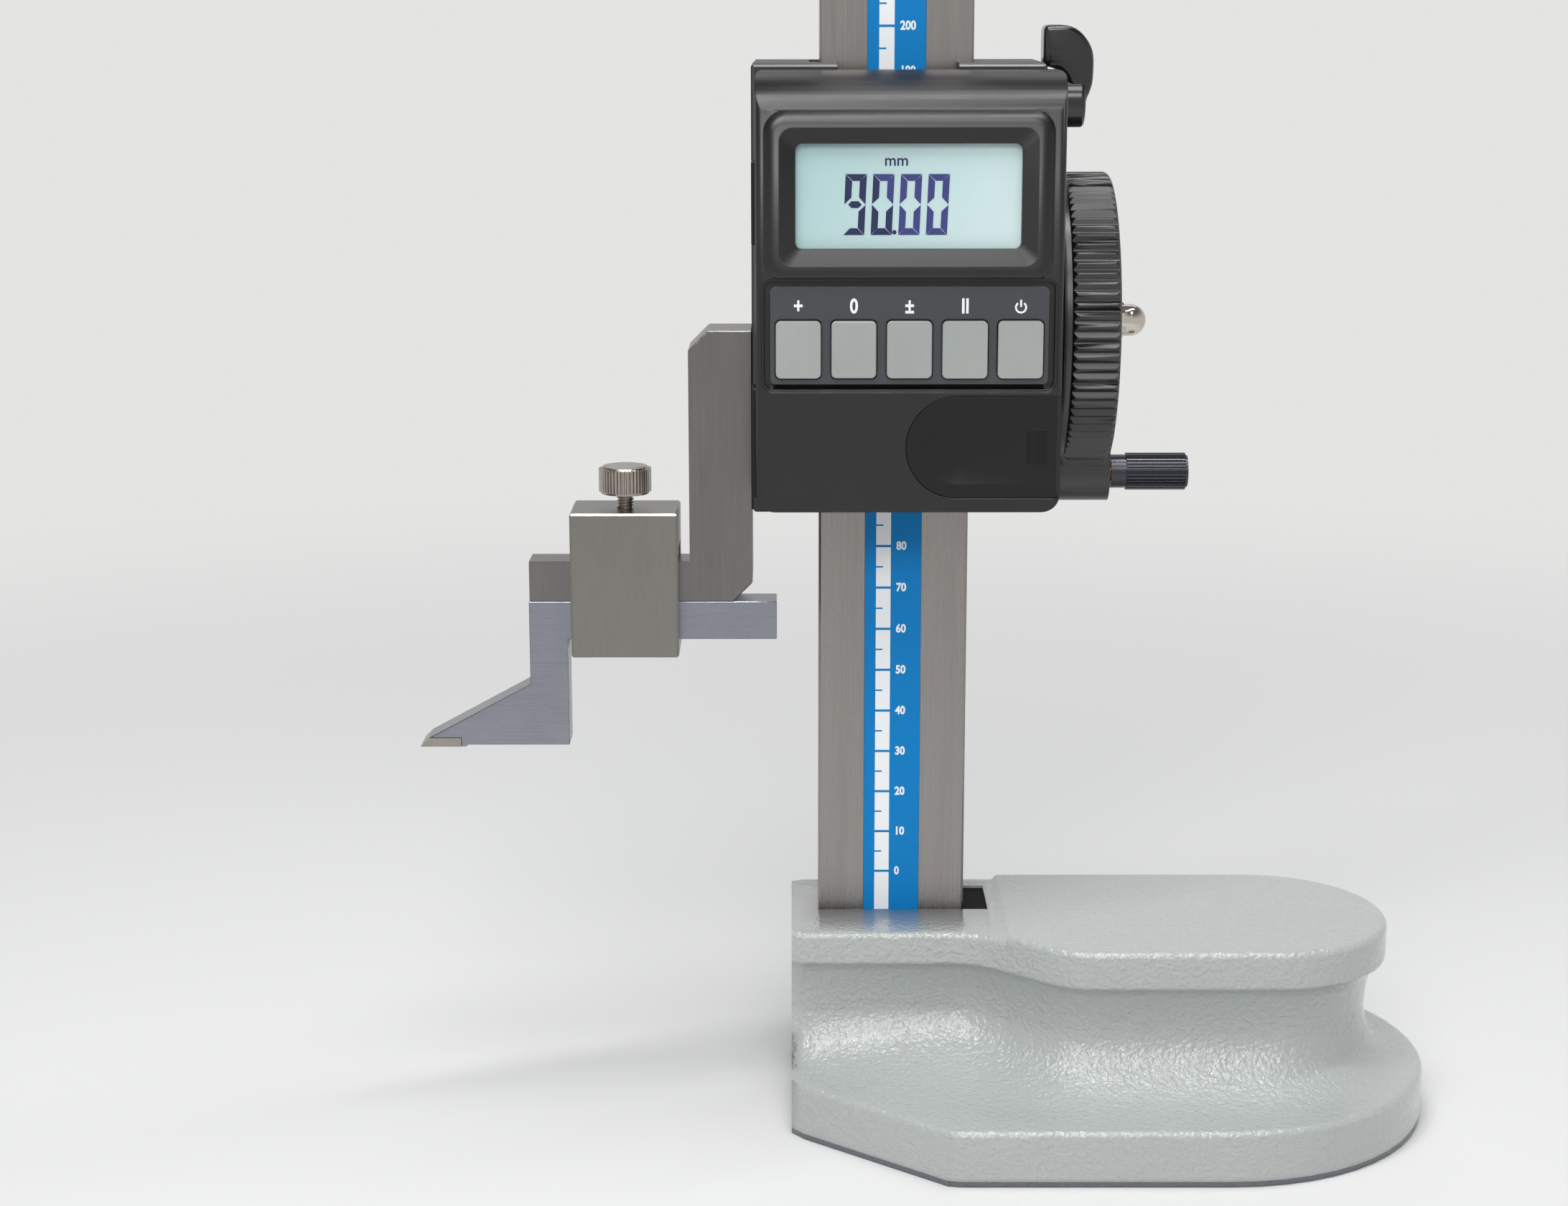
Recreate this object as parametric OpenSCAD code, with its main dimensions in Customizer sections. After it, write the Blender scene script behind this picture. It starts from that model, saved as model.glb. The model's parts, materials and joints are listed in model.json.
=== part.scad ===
// Digital height gauge, 300 mm: cast base, ground column, and a slider with a display housing,
// a rack-and-pinion handwheel, a lock lever and an L-shaped jaw that clamps a carbide-tipped scriber.
// X runs right, Y runs back, Z runs up. The origin is on the ground underside, below the column's
// centre line and in the scribing plane. All sizes are in millimetres.

/* [Base] */
// From the column's centre to the base's flat left end
base_left = 24; // [24:1:34]
// Width of the plate, front to back
plate_w = 105; // [90:1:130]
// From the column's centre to the centre of the plate's round end
plate_cx = 75.5; // [66:0.5:95]
// Height of the plate's painted edge
plate_h = 13.2; // [10:0.2:17]
// Half width of the plate's left end, in front
plate_end_front = 23; // [18:1:30]
// Half width of the plate's left end, behind
plate_end_back = 35; // [32:1:45]
// Length of the plate's tapered left part
plate_taper = 36; // [26:1:44]
// Width of the hand grip's top
grip_w = 60; // [48:1:72]
// From the column's centre to the centre of the grip's round end
grip_cx = 88.5; // [74:0.5:106]
// Height of the deck under the column
deck_h = 46.4; // [40:0.2:56]
// Height of the grip above the deck
grip_rise = 1.2; // [0.4:0.2:3]
// Where the step up to the grip is
step_x = 26; // [25:0.5:31]
// Depth of the deck in front of the scribing plane
deck_front = 12.3; // [9:0.1:16]
// Height of the rim round deck and grip
rim_h = 8; // [5:0.5:11]
// How far the neck stands inside the rim
neck_in = 4.6; // [2:0.2:7]
// Height of the neck's narrowest line
neck_z = 27; // [24:0.5:32]
// Depth of the relief in the ground underside
relief_d = 1.6; // [0.5:0.1:3]

/* [Column] */
// Width of the column
col_w = 35; // [30:0.5:42]
// Depth of the column
col_d = 18; // [15:0.5:22]
// From the scribing plane to the column's front
col_front = 5.5; // [5:0.1:7]
// Longest reading of the gauge
max_reading = 300; // [200:10:360]
// Height of the scale's zero line above the underside
scale_zero = 56.2; // [50:0.1:70]
// Depth of the column's foot inside the base
foot_d = 32.4; // [24:0.2:34]
// Width of the plug beside the column
plug_w = 6; // [4:0.5:7]
// Width of the printed scale strip
strip_w = 13.2; // [10:0.1:16]
// Thickness of the scale strip
strip_t = 1; // [0.6:0.1:1.4]
// Depth of the strip's groove
strip_groove = 0.8; // [0.4:0.1:1]
// Thickness of the end cap on the column
cap_t = 6; // [4:0.5:9]

/* [Rack and pinion] */
// Module of the rack and the pinion
gear_m = 0.8; // [0.8:0.05:1]
// Teeth of the pinion
pinion_teeth = 18; // [16:1:20]
// Width of the rack
rack_w = 8.2; // [7:0.2:10]
// Depth of the rack's groove
rack_groove = 3.4; // [3:0.1:4.5]
// Width of the pinion's teeth
pinion_w = 7; // [5:0.5:8]
// Diameter of the pinion shaft
shaft_d = 8; // [6:0.5:9]
// Reading line to the pinion's axis
pinion_up = 40.4; // [36:0.2:48]

/* [Carriage] */
// Reading shown in the rest position
reading = 90; // [90:1:90]
// Left side of the carriage
car_left = 33; // [31:0.5:36]
// Right side of the carriage
car_right = 33.4; // [31:0.2:36]
// Height of the carriage
car_h = 102; // [96:0.2:120]
// From the scribing plane to the carriage's front
car_front = 5; // [4.6:0.1:6]
// Thickness of the wall behind the column
rear_wall = 6; // [4.5:0.5:9]
// How far the front flanges lap over the column
flange_lap = 3.9; // [3:0.1:7]
// Thickness of the bronze gib
gib_t = 2.3; // [1.5:0.1:3.5]
// Running clearance between the slider and the column
run = 0.05; // [0.02:0.01:0.1]
// Outer radius of the pinion boss
boss_r = 11; // [9.5:0.5:13]

/* [Housing] */
// Left side of the housing
hou_left = 32; // [31:0.5:34]
// Width of the housing
hou_w = 68.8; // [66:0.2:80]
// Height of the housing
hou_h = 98.1; // [92:0.1:112]
// From the scribing plane to the housing's face
hou_front = 18.5; // [17.5:0.1:24]
// Height of the housing's lower edge above the reading line
hou_up = 2.5; // [1:0.1:6]
// Wall thickness of the housing
hou_wall = 2.2; // [1.6:0.1:3]
// Radius of the housing's lower corners
hou_corner = 4.4; // [2:0.2:8]
// Radius over the housing's top front edge
hou_crown = 9; // [5:0.5:11]
// Height of the display frame above the face
frame_up = 1.5; // [0.6:0.1:2.5]
// Width of the frame's rounded flank
flank_w = 3; // [2:0.1:3.4]
// Width of the display window
win_w = 50.2; // [44:0.2:54]
// Height of the display window
win_h = 23.2; // [18:0.2:26]
// Width of a key
key_w = 10; // [8:0.1:10.8]
// Height of a key
key_h = 12.8; // [9:0.1:14]
// Spacing of the keys
key_pitch = 12.4; // [12:0.1:13]
// Travel of a key
key_travel = 0.8; // [0.5:0.1:1.2]
// Height of the battery cover
cover_h = 23.3; // [21:0.1:26]
// Diameter of the coin cell
cell_d = 20; // [16:1:20]

/* [Handwheel] */
// Radius of the handwheel over its flutes
wheel_r = 35.2; // [30:0.2:38]
// Width of the wheel's rim
wheel_w = 11.2; // [8:0.2:14]
// Number of flutes round the rim
flutes = 90; // [60:2:110]
// Depth of the flutes
flute_d = 0.8; // [0.5:0.1:1.2]
// Gap between the housing and the wheel's rim
wheel_gap = 3.5; // [2:0.1:9]
// Radius of the crank pin's circle
crank_r = 36.8; // [32:0.2:38]
// Length of the crank grip
grip_l = 18.6; // [14:0.2:24]
// Diameter of the crank grip
grip_d = 9; // [7:0.2:11]

/* [Lock] */
// Height of the lock above the reading line
lock_up = 92.8; // [88:0.2:95]
// Diameter of the lock screw
lock_d = 5; // [4:0.5:6]
// Thickness of the lever
lever_t = 9; // [6:0.5:11]

/* [Jaw and scriber] */
// Side of the square jaw arm and scriber bar
bar = 9; // [8:0.1:10]
// Height of the jaw's arm
arm_h = 9.6; // [8:0.1:11]
// Width of the jaw's upright leg
leg_w = 14.6; // [11:0.2:18]
// Depth of the jaw's upright leg
leg_d = 14.5; // [11:0.5:16]
// From the column's centre to the arm's free end
arm_reach = 85; // [80:1:98]
// Height of the jaw's top above the reading line
jaw_up = 42; // [36:0.5:50]
// Chamfer of the jaw's corners
jaw_chamfer = 4.5; // [2:0.5:7]
// Length of the scriber's bar
bar_l = 57.8; // [50:0.2:66]
// Reach of the scriber's point past its leg
point_reach = 26.2; // [20:0.2:36]
// Drop from the top of the bar to the point
drop = 35; // [30:0.5:45]
// Length of the carbide insert
carbide_l = 9.6; // [6:0.2:13]
// Width of the clamp box
clamp_w = 25; // [18:0.5:28]
// Depth of the clamp box
clamp_d = 18; // [15:0.5:24]
// Height of the clamp box
clamp_h = 34; // [32:0.5:42]
// Diameter of the thumbscrew's head
thumb_d = 12.2; // [9:0.2:16]

/* [Hidden] */

$fn = 64;
eps = 0.01;
fit = 0.05;

// Base
grip_r = grip_w / 2;
plate_r = plate_w / 2;
rim_z = deck_h - rim_h;
flare_x0 = 15;
flare_x1 = 45;
step_w = 1.2;
n_left = 17;
n_straight = 32;
n_arc = 13;
n_side = n_straight + n_arc;
ground_band = 1.6;

// Column
col_back = col_front + col_d;
col_mid = col_front + col_d / 2;
socket_z = deck_h - foot_d;
col_top = scale_zero + max_reading + car_h + 9;
strip_front = col_front + strip_groove - strip_t;
bolt_x = 10;
bolt_d = 6;

// Rack and pinion
gear_pitch = PI * gear_m;
pitch_r = gear_m * pinion_teeth / 2;
rack_add = 0.7 / 0.8 * gear_m;
rack_line = col_back - rack_add;
mesh_gap = 0.03;
pinion_y = rack_line + pitch_r + mesh_gap;
tip_r = pitch_r + 0.88 * gear_m;
root_r = pitch_r - 1.2 * gear_m;

// Carriage
car_z = scale_zero + reading;
chan_x0 = -col_w / 2 - run - gib_t;
chan_x1 = col_w / 2 + run;
chan_y0 = col_front - run;
chan_y1 = col_back + run;
car_back = chan_y1 + rear_wall;
pinion_z = car_z + pinion_up;
boss_x0 = -15;
gib_x = -col_w / 2 - run - gib_t;
gib_screw_y = col_mid + 2.5;
open_x = col_w / 2 - flange_lap;
bush_r = 5.6;

// Housing
hou_x0 = -hou_left;
hou_x1 = hou_w - hou_left;
hou_cx = (hou_x0 + hou_x1) / 2;
hou_z0 = car_z + hou_up;
hou_z1 = hou_z0 + hou_h;
hou_y0 = -hou_front;
hou_y1 = -car_front;
disp_x = hou_cx - 0.4;
disp_z = hou_z0 + 0.722 * hou_h;
frame_w = win_w + 14;
frame_h = win_h + 14.8;
frame_corner = 5;
frame_sink = 0.4;
flank_r = (pow(flank_w, 2) + pow(frame_up, 2)) / (2 * frame_up);
dish_w = 3.6;
bay_w = 5 * key_pitch + 3;
bay_h = key_h + 11.5;
bay_z = hou_z0 + 0.4085 * hou_h;
bay_d = 1.9;
bay_step = 0.6;
panel_t = 1.6;
panel_y = hou_y0 + 0.3;
key_z = bay_z - 3.1;
key_up = 0.8;
key_gap = 0.3;
flange_t = 0.9;
key_back = panel_y + panel_t + key_gap + flange_t;
board_y = key_back + key_travel + 0.9;
board_t = 1.6;
plate_t = 1;
cover_z = hou_z0 + 3.2 + cover_h / 2;
cover_cx = hou_x1 - 23.4;
cover_t = 1.5;
cover_gap = 0.15;
lip = 0.9;
cell_t = 3.2;
cell_y = board_y + 0.4;

// Handwheel and crank
hub_x = car_right + 2;
wheel_x = hou_x1 + wheel_gap;
wheel_x1 = wheel_x + wheel_w;
web_x = wheel_x + 1.2;
hub_x1 = wheel_x1 + 1.2;
lug_r = 7;
pin_d = 3.2;
spacer_t = 0.6;
crank_x = hub_x1 + spacer_t + 2 * fit;

// Lock
lock_z = car_z + lock_up;
lever_x0 = car_right + 0.3;
lever_x1 = lever_x0 + 9.8;
lever_hub_r = 6;
pad_t = 2.2;
pad_gap = 0.3;

// Jaw and scriber
scribe_z = reading;
bar_z = scribe_z + drop - bar;
arm_z = scribe_z + drop;
leg_x = -car_left - leg_w;
scr_x0 = -arm_reach - 0.2;
clamp_x = -62.6;
clamp_z = bar_z - 3.4;
pad_h = 2.8;
pad_rise = 0.5;
arm_top = arm_z + arm_h;
clamp_open = arm_top + pad_h + pad_rise + 0.15;
thumb_z = clamp_z + clamp_h + 3.4;
thread_d = 4;

function mix(a, b, t) = a + (b - a) * t;
function smooth(t) = let (c = min(1, max(0, t))) c * c * (3 - 2 * c);

// Base casting: a skin through outlines that share their stations along X

// Station along the plate's straight sides
function plate_x(i) = i <= n_left
    ? mix(-base_left, step_x, i / n_left)
    : mix(step_x + step_w, plate_cx, (i - n_left - 1) / (n_straight - n_left - 1));
// The same station on the grip, whose straight sides run further
function grip_x(i) = let (x = plate_x(i))
    x <= flare_x1 ? x : mix(flare_x1, grip_cx, (x - flare_x1) / (plate_cx - flare_x1));
function plate_half(x, end) = mix(end, plate_r, min(1, (x + base_left) / plate_taper));
function grip_half(x, front) = front
    ? mix(deck_front, grip_r, smooth((x - flare_x0) / (flare_x1 - flare_x0)))
    : grip_r;
// A point of the outline: w = 0 on the plate and 1 on the grip, moved in by d
function side_point(i, w, d, front) = i < n_straight
    ? let (s = front ? -1 : 1, round_end = i == 0 ? 1.4 : 0)
        [mix(plate_x(i), grip_x(i), w),
            s * (mix(plate_half(plate_x(i), front ? plate_end_front : plate_end_back),
                grip_half(grip_x(i), front), w) - d - round_end)]
    : let (s = front ? -1 : 1, a = 90 * (i - n_straight) / n_arc, r = mix(plate_r, grip_r, w) - d)
        [mix(plate_cx, grip_cx, w) + r * sin(a), s * r * cos(a)];
function rise_at(x) = x > step_x + step_w / 2 ? grip_rise : 0;
// One ring: front side from left to right, then the back side from right to left
function ring(w, d, z, up) = [
    for (i = [0 : n_side]) let (p = side_point(i, w, d, true)) [p.x, p.y, z + up * rise_at(p.x)],
    for (i = [n_side - 1 : -1 : 0]) let (p = side_point(i, w, d, false))
        [p.x, p.y, z + up * rise_at(p.x)]
];
cove_steps = 8;
lip_steps = 4;
edge_r = 1.5;
// Each level is [w, d, z, share of the grip's rise]
levels = [
    [0, 0.5, 0, 0],
    [0, 0.5, ground_band, 0],
    [0, 0, ground_band + 0.6, 0],
    for (a = [0 : 30 : 90]) [0, edge_r * (1 - cos(a)), plate_h - edge_r * (1 - sin(a)), 0],
    for (k = [1 : cove_steps]) let (a = 90 * k / cove_steps)
        [sin(a), mix(edge_r, neck_in, sin(a)), mix(plate_h, neck_z, pow(1 - cos(a), 1.1)), 0],
    for (k = [1 : lip_steps]) let (a = 90 * k / lip_steps)
        [1, mix(0.7, neck_in, cos(a)), mix(neck_z, rim_z, sin(a)), 0],
    [1, 0.1, rim_z + 0.4, 0],
    [1, 0, rim_z + 1, 0],
    for (a = [0 : 30 : 90]) [1, edge_r * (1 - cos(a)), deck_h - edge_r * (1 - sin(a)), 1]
];
module base_skin() {
    m = 2 * n_side + 1;
    top = (len(levels) - 1) * m;
    polyhedron(
        points = [for (l = levels) each ring(l[0], l[1], l[2], l[3])],
        faces = [
            [for (j = [0 : m - 1]) j],
            for (k = [0 : len(levels) - 2], j = [0 : m - 1])
                [k * m + j, (k + 1) * m + j, (k + 1) * m + (j + 1) % m, k * m + (j + 1) % m],
            for (i = [0 : n_side - 2])
                [top + i, top + m - 1 - i, top + m - 2 - i, top + i + 1],
            [top + n_side - 1, top + n_side + 1, top + n_side]
        ],
        convexity = 6
    );
}

// Shared shapes

// Rectangle with rounded corners, centred
module round_rect(w, h, r) {
    union() {
        square([w - 2 * r, h], center = true);
        square([w, h - 2 * r], center = true);
        for (sx = [-1, 1], sy = [-1, 1])
            translate([sx * (w / 2 - r), sy * (h / 2 - r)])
                circle(r);
    }
}
// Flat plate facing front: its outline is in X and Z, and it runs from y0 to y1
module front_plate(y0, y1) {
    translate([0, y1, 0])
        rotate([90, 0, 0])
            linear_extrude(y1 - y0)
                children();
}
// Rod along X from x0 to x1
module rod_x(x0, x1, r) {
    translate([x0, 0, 0])
        rotate([0, 90, 0])
            cylinder(h = x1 - x0, r = r);
}
// Rod along Y from y0 to y1
module rod_y(y0, y1, r) {
    translate([0, y0, 0])
        rotate([-90, 0, 0])
            cylinder(h = y1 - y0, r = r);
}
// Rectangle with chamfered corners, centred
module chamfer_rect(w, h, c) {
    polygon([[c - w / 2, -h / 2], [w / 2 - c, -h / 2], [w / 2, c - h / 2], [w / 2, h / 2 - c],
        [w / 2 - c, h / 2], [c - w / 2, h / 2], [-w / 2, h / 2 - c], [-w / 2, c - h / 2]]);
}
// Block with every edge chamfered, centred
module chamfer_box(w, d, h, c) {
    intersection() {
        linear_extrude(h, center = true)
            chamfer_rect(w, d, c);
        rotate([90, 0, 0])
            linear_extrude(d, center = true)
                chamfer_rect(w, h, c);
        rotate([90, 0, 90])
            linear_extrude(w, center = true)
                chamfer_rect(d, h, c);
    }
}
// Toothed outline: n teeth between two radii, with flat tips and roots
module fluted(n, r_out, r_in, tip = 0.3, root = 0.3) {
    step = 360 / n;
    polygon([for (i = [0 : n - 1], p = [[-tip / 2, r_out], [tip / 2, r_out],
        [0.5 - root / 2, r_in], [0.5 + root / 2, r_in]])
            let (a = (i + p[0]) * step) [p[1] * cos(a), p[1] * sin(a)]]);
}
// Socket-head cap screw along +Z, head below zero
module cap_screw(d, l, head_h = 0) {
    hh = head_h > 0 ? head_h : d;
    difference() {
        union() {
            cylinder(h = l, d = d);
            translate([0, 0, -hh])
                cylinder(h = hh, d = 1.7 * d);
        }
        translate([0, 0, -hh - eps])
            cylinder(h = 0.55 * hh, d = 0.95 * d, $fn = 6);
    }
}

// Base

module socket_cut() {
    translate([-col_w / 2, col_front, socket_z])
        cube([col_w + plug_w, col_d, deck_h]);
}
module at_bolts() {
    for (s = [-1, 1])
        translate([s * bolt_x, col_mid, 0])
            children();
}
module base_casting() {
    color("#b4bcb9")
        difference() {
            base_skin();
            socket_cut();
            at_bolts() {
                translate([0, 0, -eps])
                    cylinder(h = socket_z + 1, d = bolt_d + 0.4);
                translate([0, 0, -eps])
                    cylinder(h = 8 + 2 * eps, d = 1.7 * bolt_d + 0.6);
            }
            translate([(step_x + 6 + plate_cx + plate_r - 12) / 2, 0, -eps])
                linear_extrude(relief_d + eps)
                    round_rect(plate_cx + plate_r - 12 - step_x - 6, plate_w - 30, 12);
        }
}
module column() {
    color("#a9a6a1")
        difference() {
            translate([0, col_mid, (socket_z + col_top) / 2])
                chamfer_box(col_w, col_d, col_top - socket_z, 0.5);
            translate([-strip_w / 2, col_front - 1, deck_h])
                cube([strip_w, strip_groove + 1, col_top]);
            translate([-rack_w / 2, col_back - rack_groove, deck_h])
                cube([rack_w, rack_groove + 1, col_top]);
            at_bolts()
                translate([0, 0, socket_z - eps])
                    cylinder(h = 15, d = bolt_d + 2 * fit);
            at_cap_screws()
                translate([0, 0, col_top - 10])
                    cylinder(h = 10 + eps, d = 3 + 2 * fit);
        }
}
module scale_strip() {
    color("#1d83c9")
        translate([-strip_w / 2, strip_front, deck_h])
            cube([strip_w, strip_t, col_top - deck_h]);
}
rack_z0 = deck_h + 2;
rack_n = floor((col_top - 2 - rack_z0) / gear_pitch);
// A tooth space of the rack faces the pinion's axis at rest
rack_phase = pinion_z - gear_pitch * floor((pinion_z - rack_z0) / gear_pitch);
module rack() {
    y0 = col_back - rack_groove;
    root_y = rack_line - 1.1 * gear_m;
    half_root = gear_pitch / 4 + 1.1 * gear_m * tan(20);
    half_tip = gear_pitch / 4 - rack_add * tan(20);
    z_end = rack_phase + (rack_n - 1) * gear_pitch;
    color("#8d8f92")
        translate([-rack_w / 2, 0, 0])
            rotate([90, 0, 90])
                linear_extrude(rack_w)
                    polygon([
                        [y0, rack_phase - gear_pitch / 2],
                        for (k = [0 : rack_n - 2], p = [[root_y, -half_root], [col_back, -half_tip],
                            [col_back, half_tip], [root_y, half_root]])
                                [p[0], rack_phase + gear_pitch * (k + 0.5) + p[1]],
                        [y0, z_end]
                    ]);
}
module column_bolts() {
    color("#6f7276")
        at_bolts()
            translate([0, 0, 8])
                cap_screw(bolt_d, socket_z - 8 + 13);
}
module slot_plug() {
    color("#1b1b1c")
        translate([col_w / 2, col_front, deck_h - 10])
            cube([plug_w, col_d, 9.4]);
}
module at_cap_screws() {
    for (s = [-1, 1])
        translate([s * (col_w / 2 - 7), col_mid, 0])
            children();
}
module top_cap() {
    color("#232425")
        difference() {
            translate([0, col_mid, col_top + cap_t / 2])
                chamfer_box(col_w + 4, col_d + 4, cap_t, 1);
            at_cap_screws() {
                translate([0, 0, col_top - 1])
                    cylinder(h = cap_t + 2, d = 3.3);
                translate([0, 0, col_top + cap_t - 3.2])
                    cylinder(h = 4, d = 5.7);
            }
        }
}
module cap_screws() {
    color("#6f7276")
        at_cap_screws()
            translate([0, 0, col_top + cap_t - 3.2])
                rotate([180, 0, 0])
                    cap_screw(3, 11, 3);
}

// Slider: carriage, gib and lock

module at_pinion() {
    translate([0, pinion_y, pinion_z])
        children();
}
module at_lock() {
    translate([0, col_mid, lock_z])
        children();
}
module at_gib_screws() {
    for (z = [14, car_h / 2, car_h - 14])
        translate([0, gib_screw_y, car_z + z])
            children();
}
module at_jaw_screws() {
    for (z = [15.5, 32.5])
        translate([0, 1.5, car_z + z])
            children();
}
module at_housing_screws() {
    for (x = [hou_x0 + 5.5, car_right - 6], z = [hou_z0 + 5, hou_z1 - 9.6])
        translate([x, 0, z])
            children();
}
module carriage() {
    color("#2b2c2e")
        difference() {
            union() {
                translate([(car_right - car_left) / 2, (car_back - car_front) / 2, car_z + car_h / 2])
                    chamfer_box(car_left + car_right, car_back + car_front, car_h, 0.8);
                at_pinion()
                    rod_x(boss_x0, car_right, boss_r);
            }
            translate([chan_x0, chan_y0, car_z - 1])
                cube([chan_x1 - chan_x0, chan_y1 - chan_y0, car_h + 2]);
            translate([-open_x, -car_front - 1, car_z - 1])
                cube([2 * open_x, chan_y0 + car_front + 2, car_h + 2]);
            at_pinion() {
                rod_x(boss_x0 - 3, car_right + 1, bush_r);
                rod_x(-pinion_w / 2 - 1, pinion_w / 2 + 1, tip_r + 0.6);
            }
            at_lock() {
                rod_x(0, car_right + 1, lock_d / 2 + 0.1);
                rod_x(chan_x1 + 7, car_right + 1, lock_d - 0.5);
            }
            at_gib_screws()
                rod_x(-car_left - 1, 0, 2 + fit);
            at_jaw_screws()
                rod_x(-car_left - 1, -car_left + 12, 2 + fit);
            at_housing_screws() {
                rod_y(-car_front - 1, car_back + 1, 1.7);
                rod_y(1, car_back + 1, 3.1);
            }
        }
}
module gib_strip() {
    color("#a9803c")
        difference() {
            translate([gib_x, chan_y0 + 0.5, car_z + 0.6])
                cube([gib_t, col_d - 1, car_h - 1.2]);
            at_gib_screws()
                rod_x(gib_x - 1, gib_x + 0.8, 1.2);
        }
}
module gib_screws() {
    color("#55585c")
        at_gib_screws()
            difference() {
                union() {
                    rod_x(-car_left + 0.6, gib_x - 0.02, 2);
                    rod_x(gib_x - 0.05, gib_x + 0.7, 1.1);
                }
                rod_x(-car_left, -car_left + 2.4, 1, $fn = 6);
            }
}
module lock_bush() {
    color("#55585c")
        at_lock()
            difference() {
                rod_x(chan_x1 + 7 + eps, car_right, lock_d - 0.5 - fit);
                rod_x(0, 60, lock_d / 2 + fit);
            }
}
module lock_screw() {
    color("#6f7276")
        at_lock()
            rod_x(col_w / 2 + pad_gap + pad_t + fit, lever_x1 - 1, lock_d / 2);
}
module lock_pad() {
    color("#b98f45")
        at_lock()
            rod_x(col_w / 2 + pad_gap, col_w / 2 + pad_gap + pad_t, lock_d / 2);
}
// Front view of the lever's thumb piece, from the hub up
module lever_outline() {
    top = 17.3;
    shoulder_r = 6.2;
    intersection() {
        union() {
            translate([lever_x0, 0])
                square([lever_x1 - lever_x0, 12]);
            translate([lever_x0, 8])
                square([shoulder_r - 0.6, top - 8]);
            translate([lever_x0 + 5.4, top - shoulder_r])
                circle(shoulder_r);
            translate([lever_x0, 0])
                polygon([[0, 8], [9.8, 0], [10.7, 2], [11.4, 4.2], [11.6, 6], [11.6, top - shoulder_r]]);
        }
        translate([lever_x0, 0])
            square([2 * shoulder_r, top]);
    }
}
module lock_lever() {
    color("#1c1c1e")
        at_lock()
            difference() {
                union() {
                    front_plate(-lever_t / 2, lever_t / 2)
                        lever_outline();
                    rod_x(lever_x0, lever_x1, lever_hub_r);
                    for (k = [0 : 4])
                        translate([lever_x0 + 1.3, -lever_t / 2 - 0.3, 7.8 + 1.2 * k])
                            cube([5.6 + 0.1 * k, 0.6, 0.5]);
                }
                rod_x(lever_x0 - 1, lever_x1 - 1 + fit, lock_d / 2 + fit);
            }
}

// Slider: housing and electronics

module housing_block() {
    intersection() {
        front_plate(hou_y0, hou_y1)
            translate([hou_cx, (hou_z0 + hou_z1) / 2])
                union() {
                    round_rect(hou_w, hou_h, hou_corner);
                    translate([-hou_w / 2 + 1.5, 0])
                        square([hou_w - 3, hou_h / 2]);
                    translate([0, hou_h / 4])
                        round_rect(hou_w, hou_h / 2, 1.5);
                }
        translate([hou_x0, 0, 0])
            rotate([90, 0, 90])
                linear_extrude(hou_w)
                    union() {
                        translate([hou_y0, hou_z0])
                            square([hou_y1 - hou_y0, hou_h - hou_crown]);
                        translate([hou_y0 + hou_crown, hou_z0])
                            square([hou_y1 - hou_y0 - hou_crown, hou_h]);
                        translate([hou_y0 + hou_crown, hou_z1 - hou_crown])
                            circle(hou_crown);
                    }
        translate([hou_cx, hou_y0 + 20, hou_z0])
            linear_extrude(hou_h)
                round_rect(hou_w, 40, 1.6);
    }
}
module housing_hollow() {
    difference() {
        front_plate(hou_y0 + hou_wall, hou_y1 + 1)
            translate([hou_cx, (hou_z0 + hou_z1) / 2])
                round_rect(hou_w - 2 * hou_wall, hou_h - 2 * hou_wall, 2.5);
        translate([hou_x0, hou_y0 + hou_crown, hou_z1 - hou_crown])
            rotate([45, 0, 0])
                translate([0, -20, hou_crown - hou_wall])
                    cube([hou_w, 40, 20]);
    }
}
// The cover's outline: a half circle on the left and straight to the housing's right side
module cover_outline(grow, x1) {
    translate([cover_cx, cover_z])
        circle(cover_h / 2 + grow);
    translate([cover_cx, cover_z - cover_h / 2 - grow])
        square([x1 - cover_cx, cover_h + 2 * grow]);
}
module at_posts() {
    for (x = [hou_x0 + 6, hou_cx, hou_x1 - 6], z = [hou_z0 + 27.2, bay_z + bay_h / 2 + 3.2])
        translate([x, 0, z])
            children();
}
// Half section of the raised frame: its axis is zero, and its flank is an arc that ends on the face
module frame_profile() {
    flat_w = frame_corner - flank_w;
    union() {
        translate([0, -frame_sink])
            square([flat_w, frame_up + frame_sink]);
        intersection() {
            translate([flat_w, frame_up - flank_r])
                circle(flank_r);
            translate([0, -frame_sink])
                square([frame_corner, frame_up + frame_sink]);
        }
    }
}
module frame_section(span) {
    union() {
        for (s = [0, 1])
            mirror([s, 0])
                translate([span / 2 - frame_corner, 0])
                    frame_profile();
        translate([frame_corner - span / 2, -frame_sink])
            square([span - 2 * frame_corner, frame_up + frame_sink]);
    }
}
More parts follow.
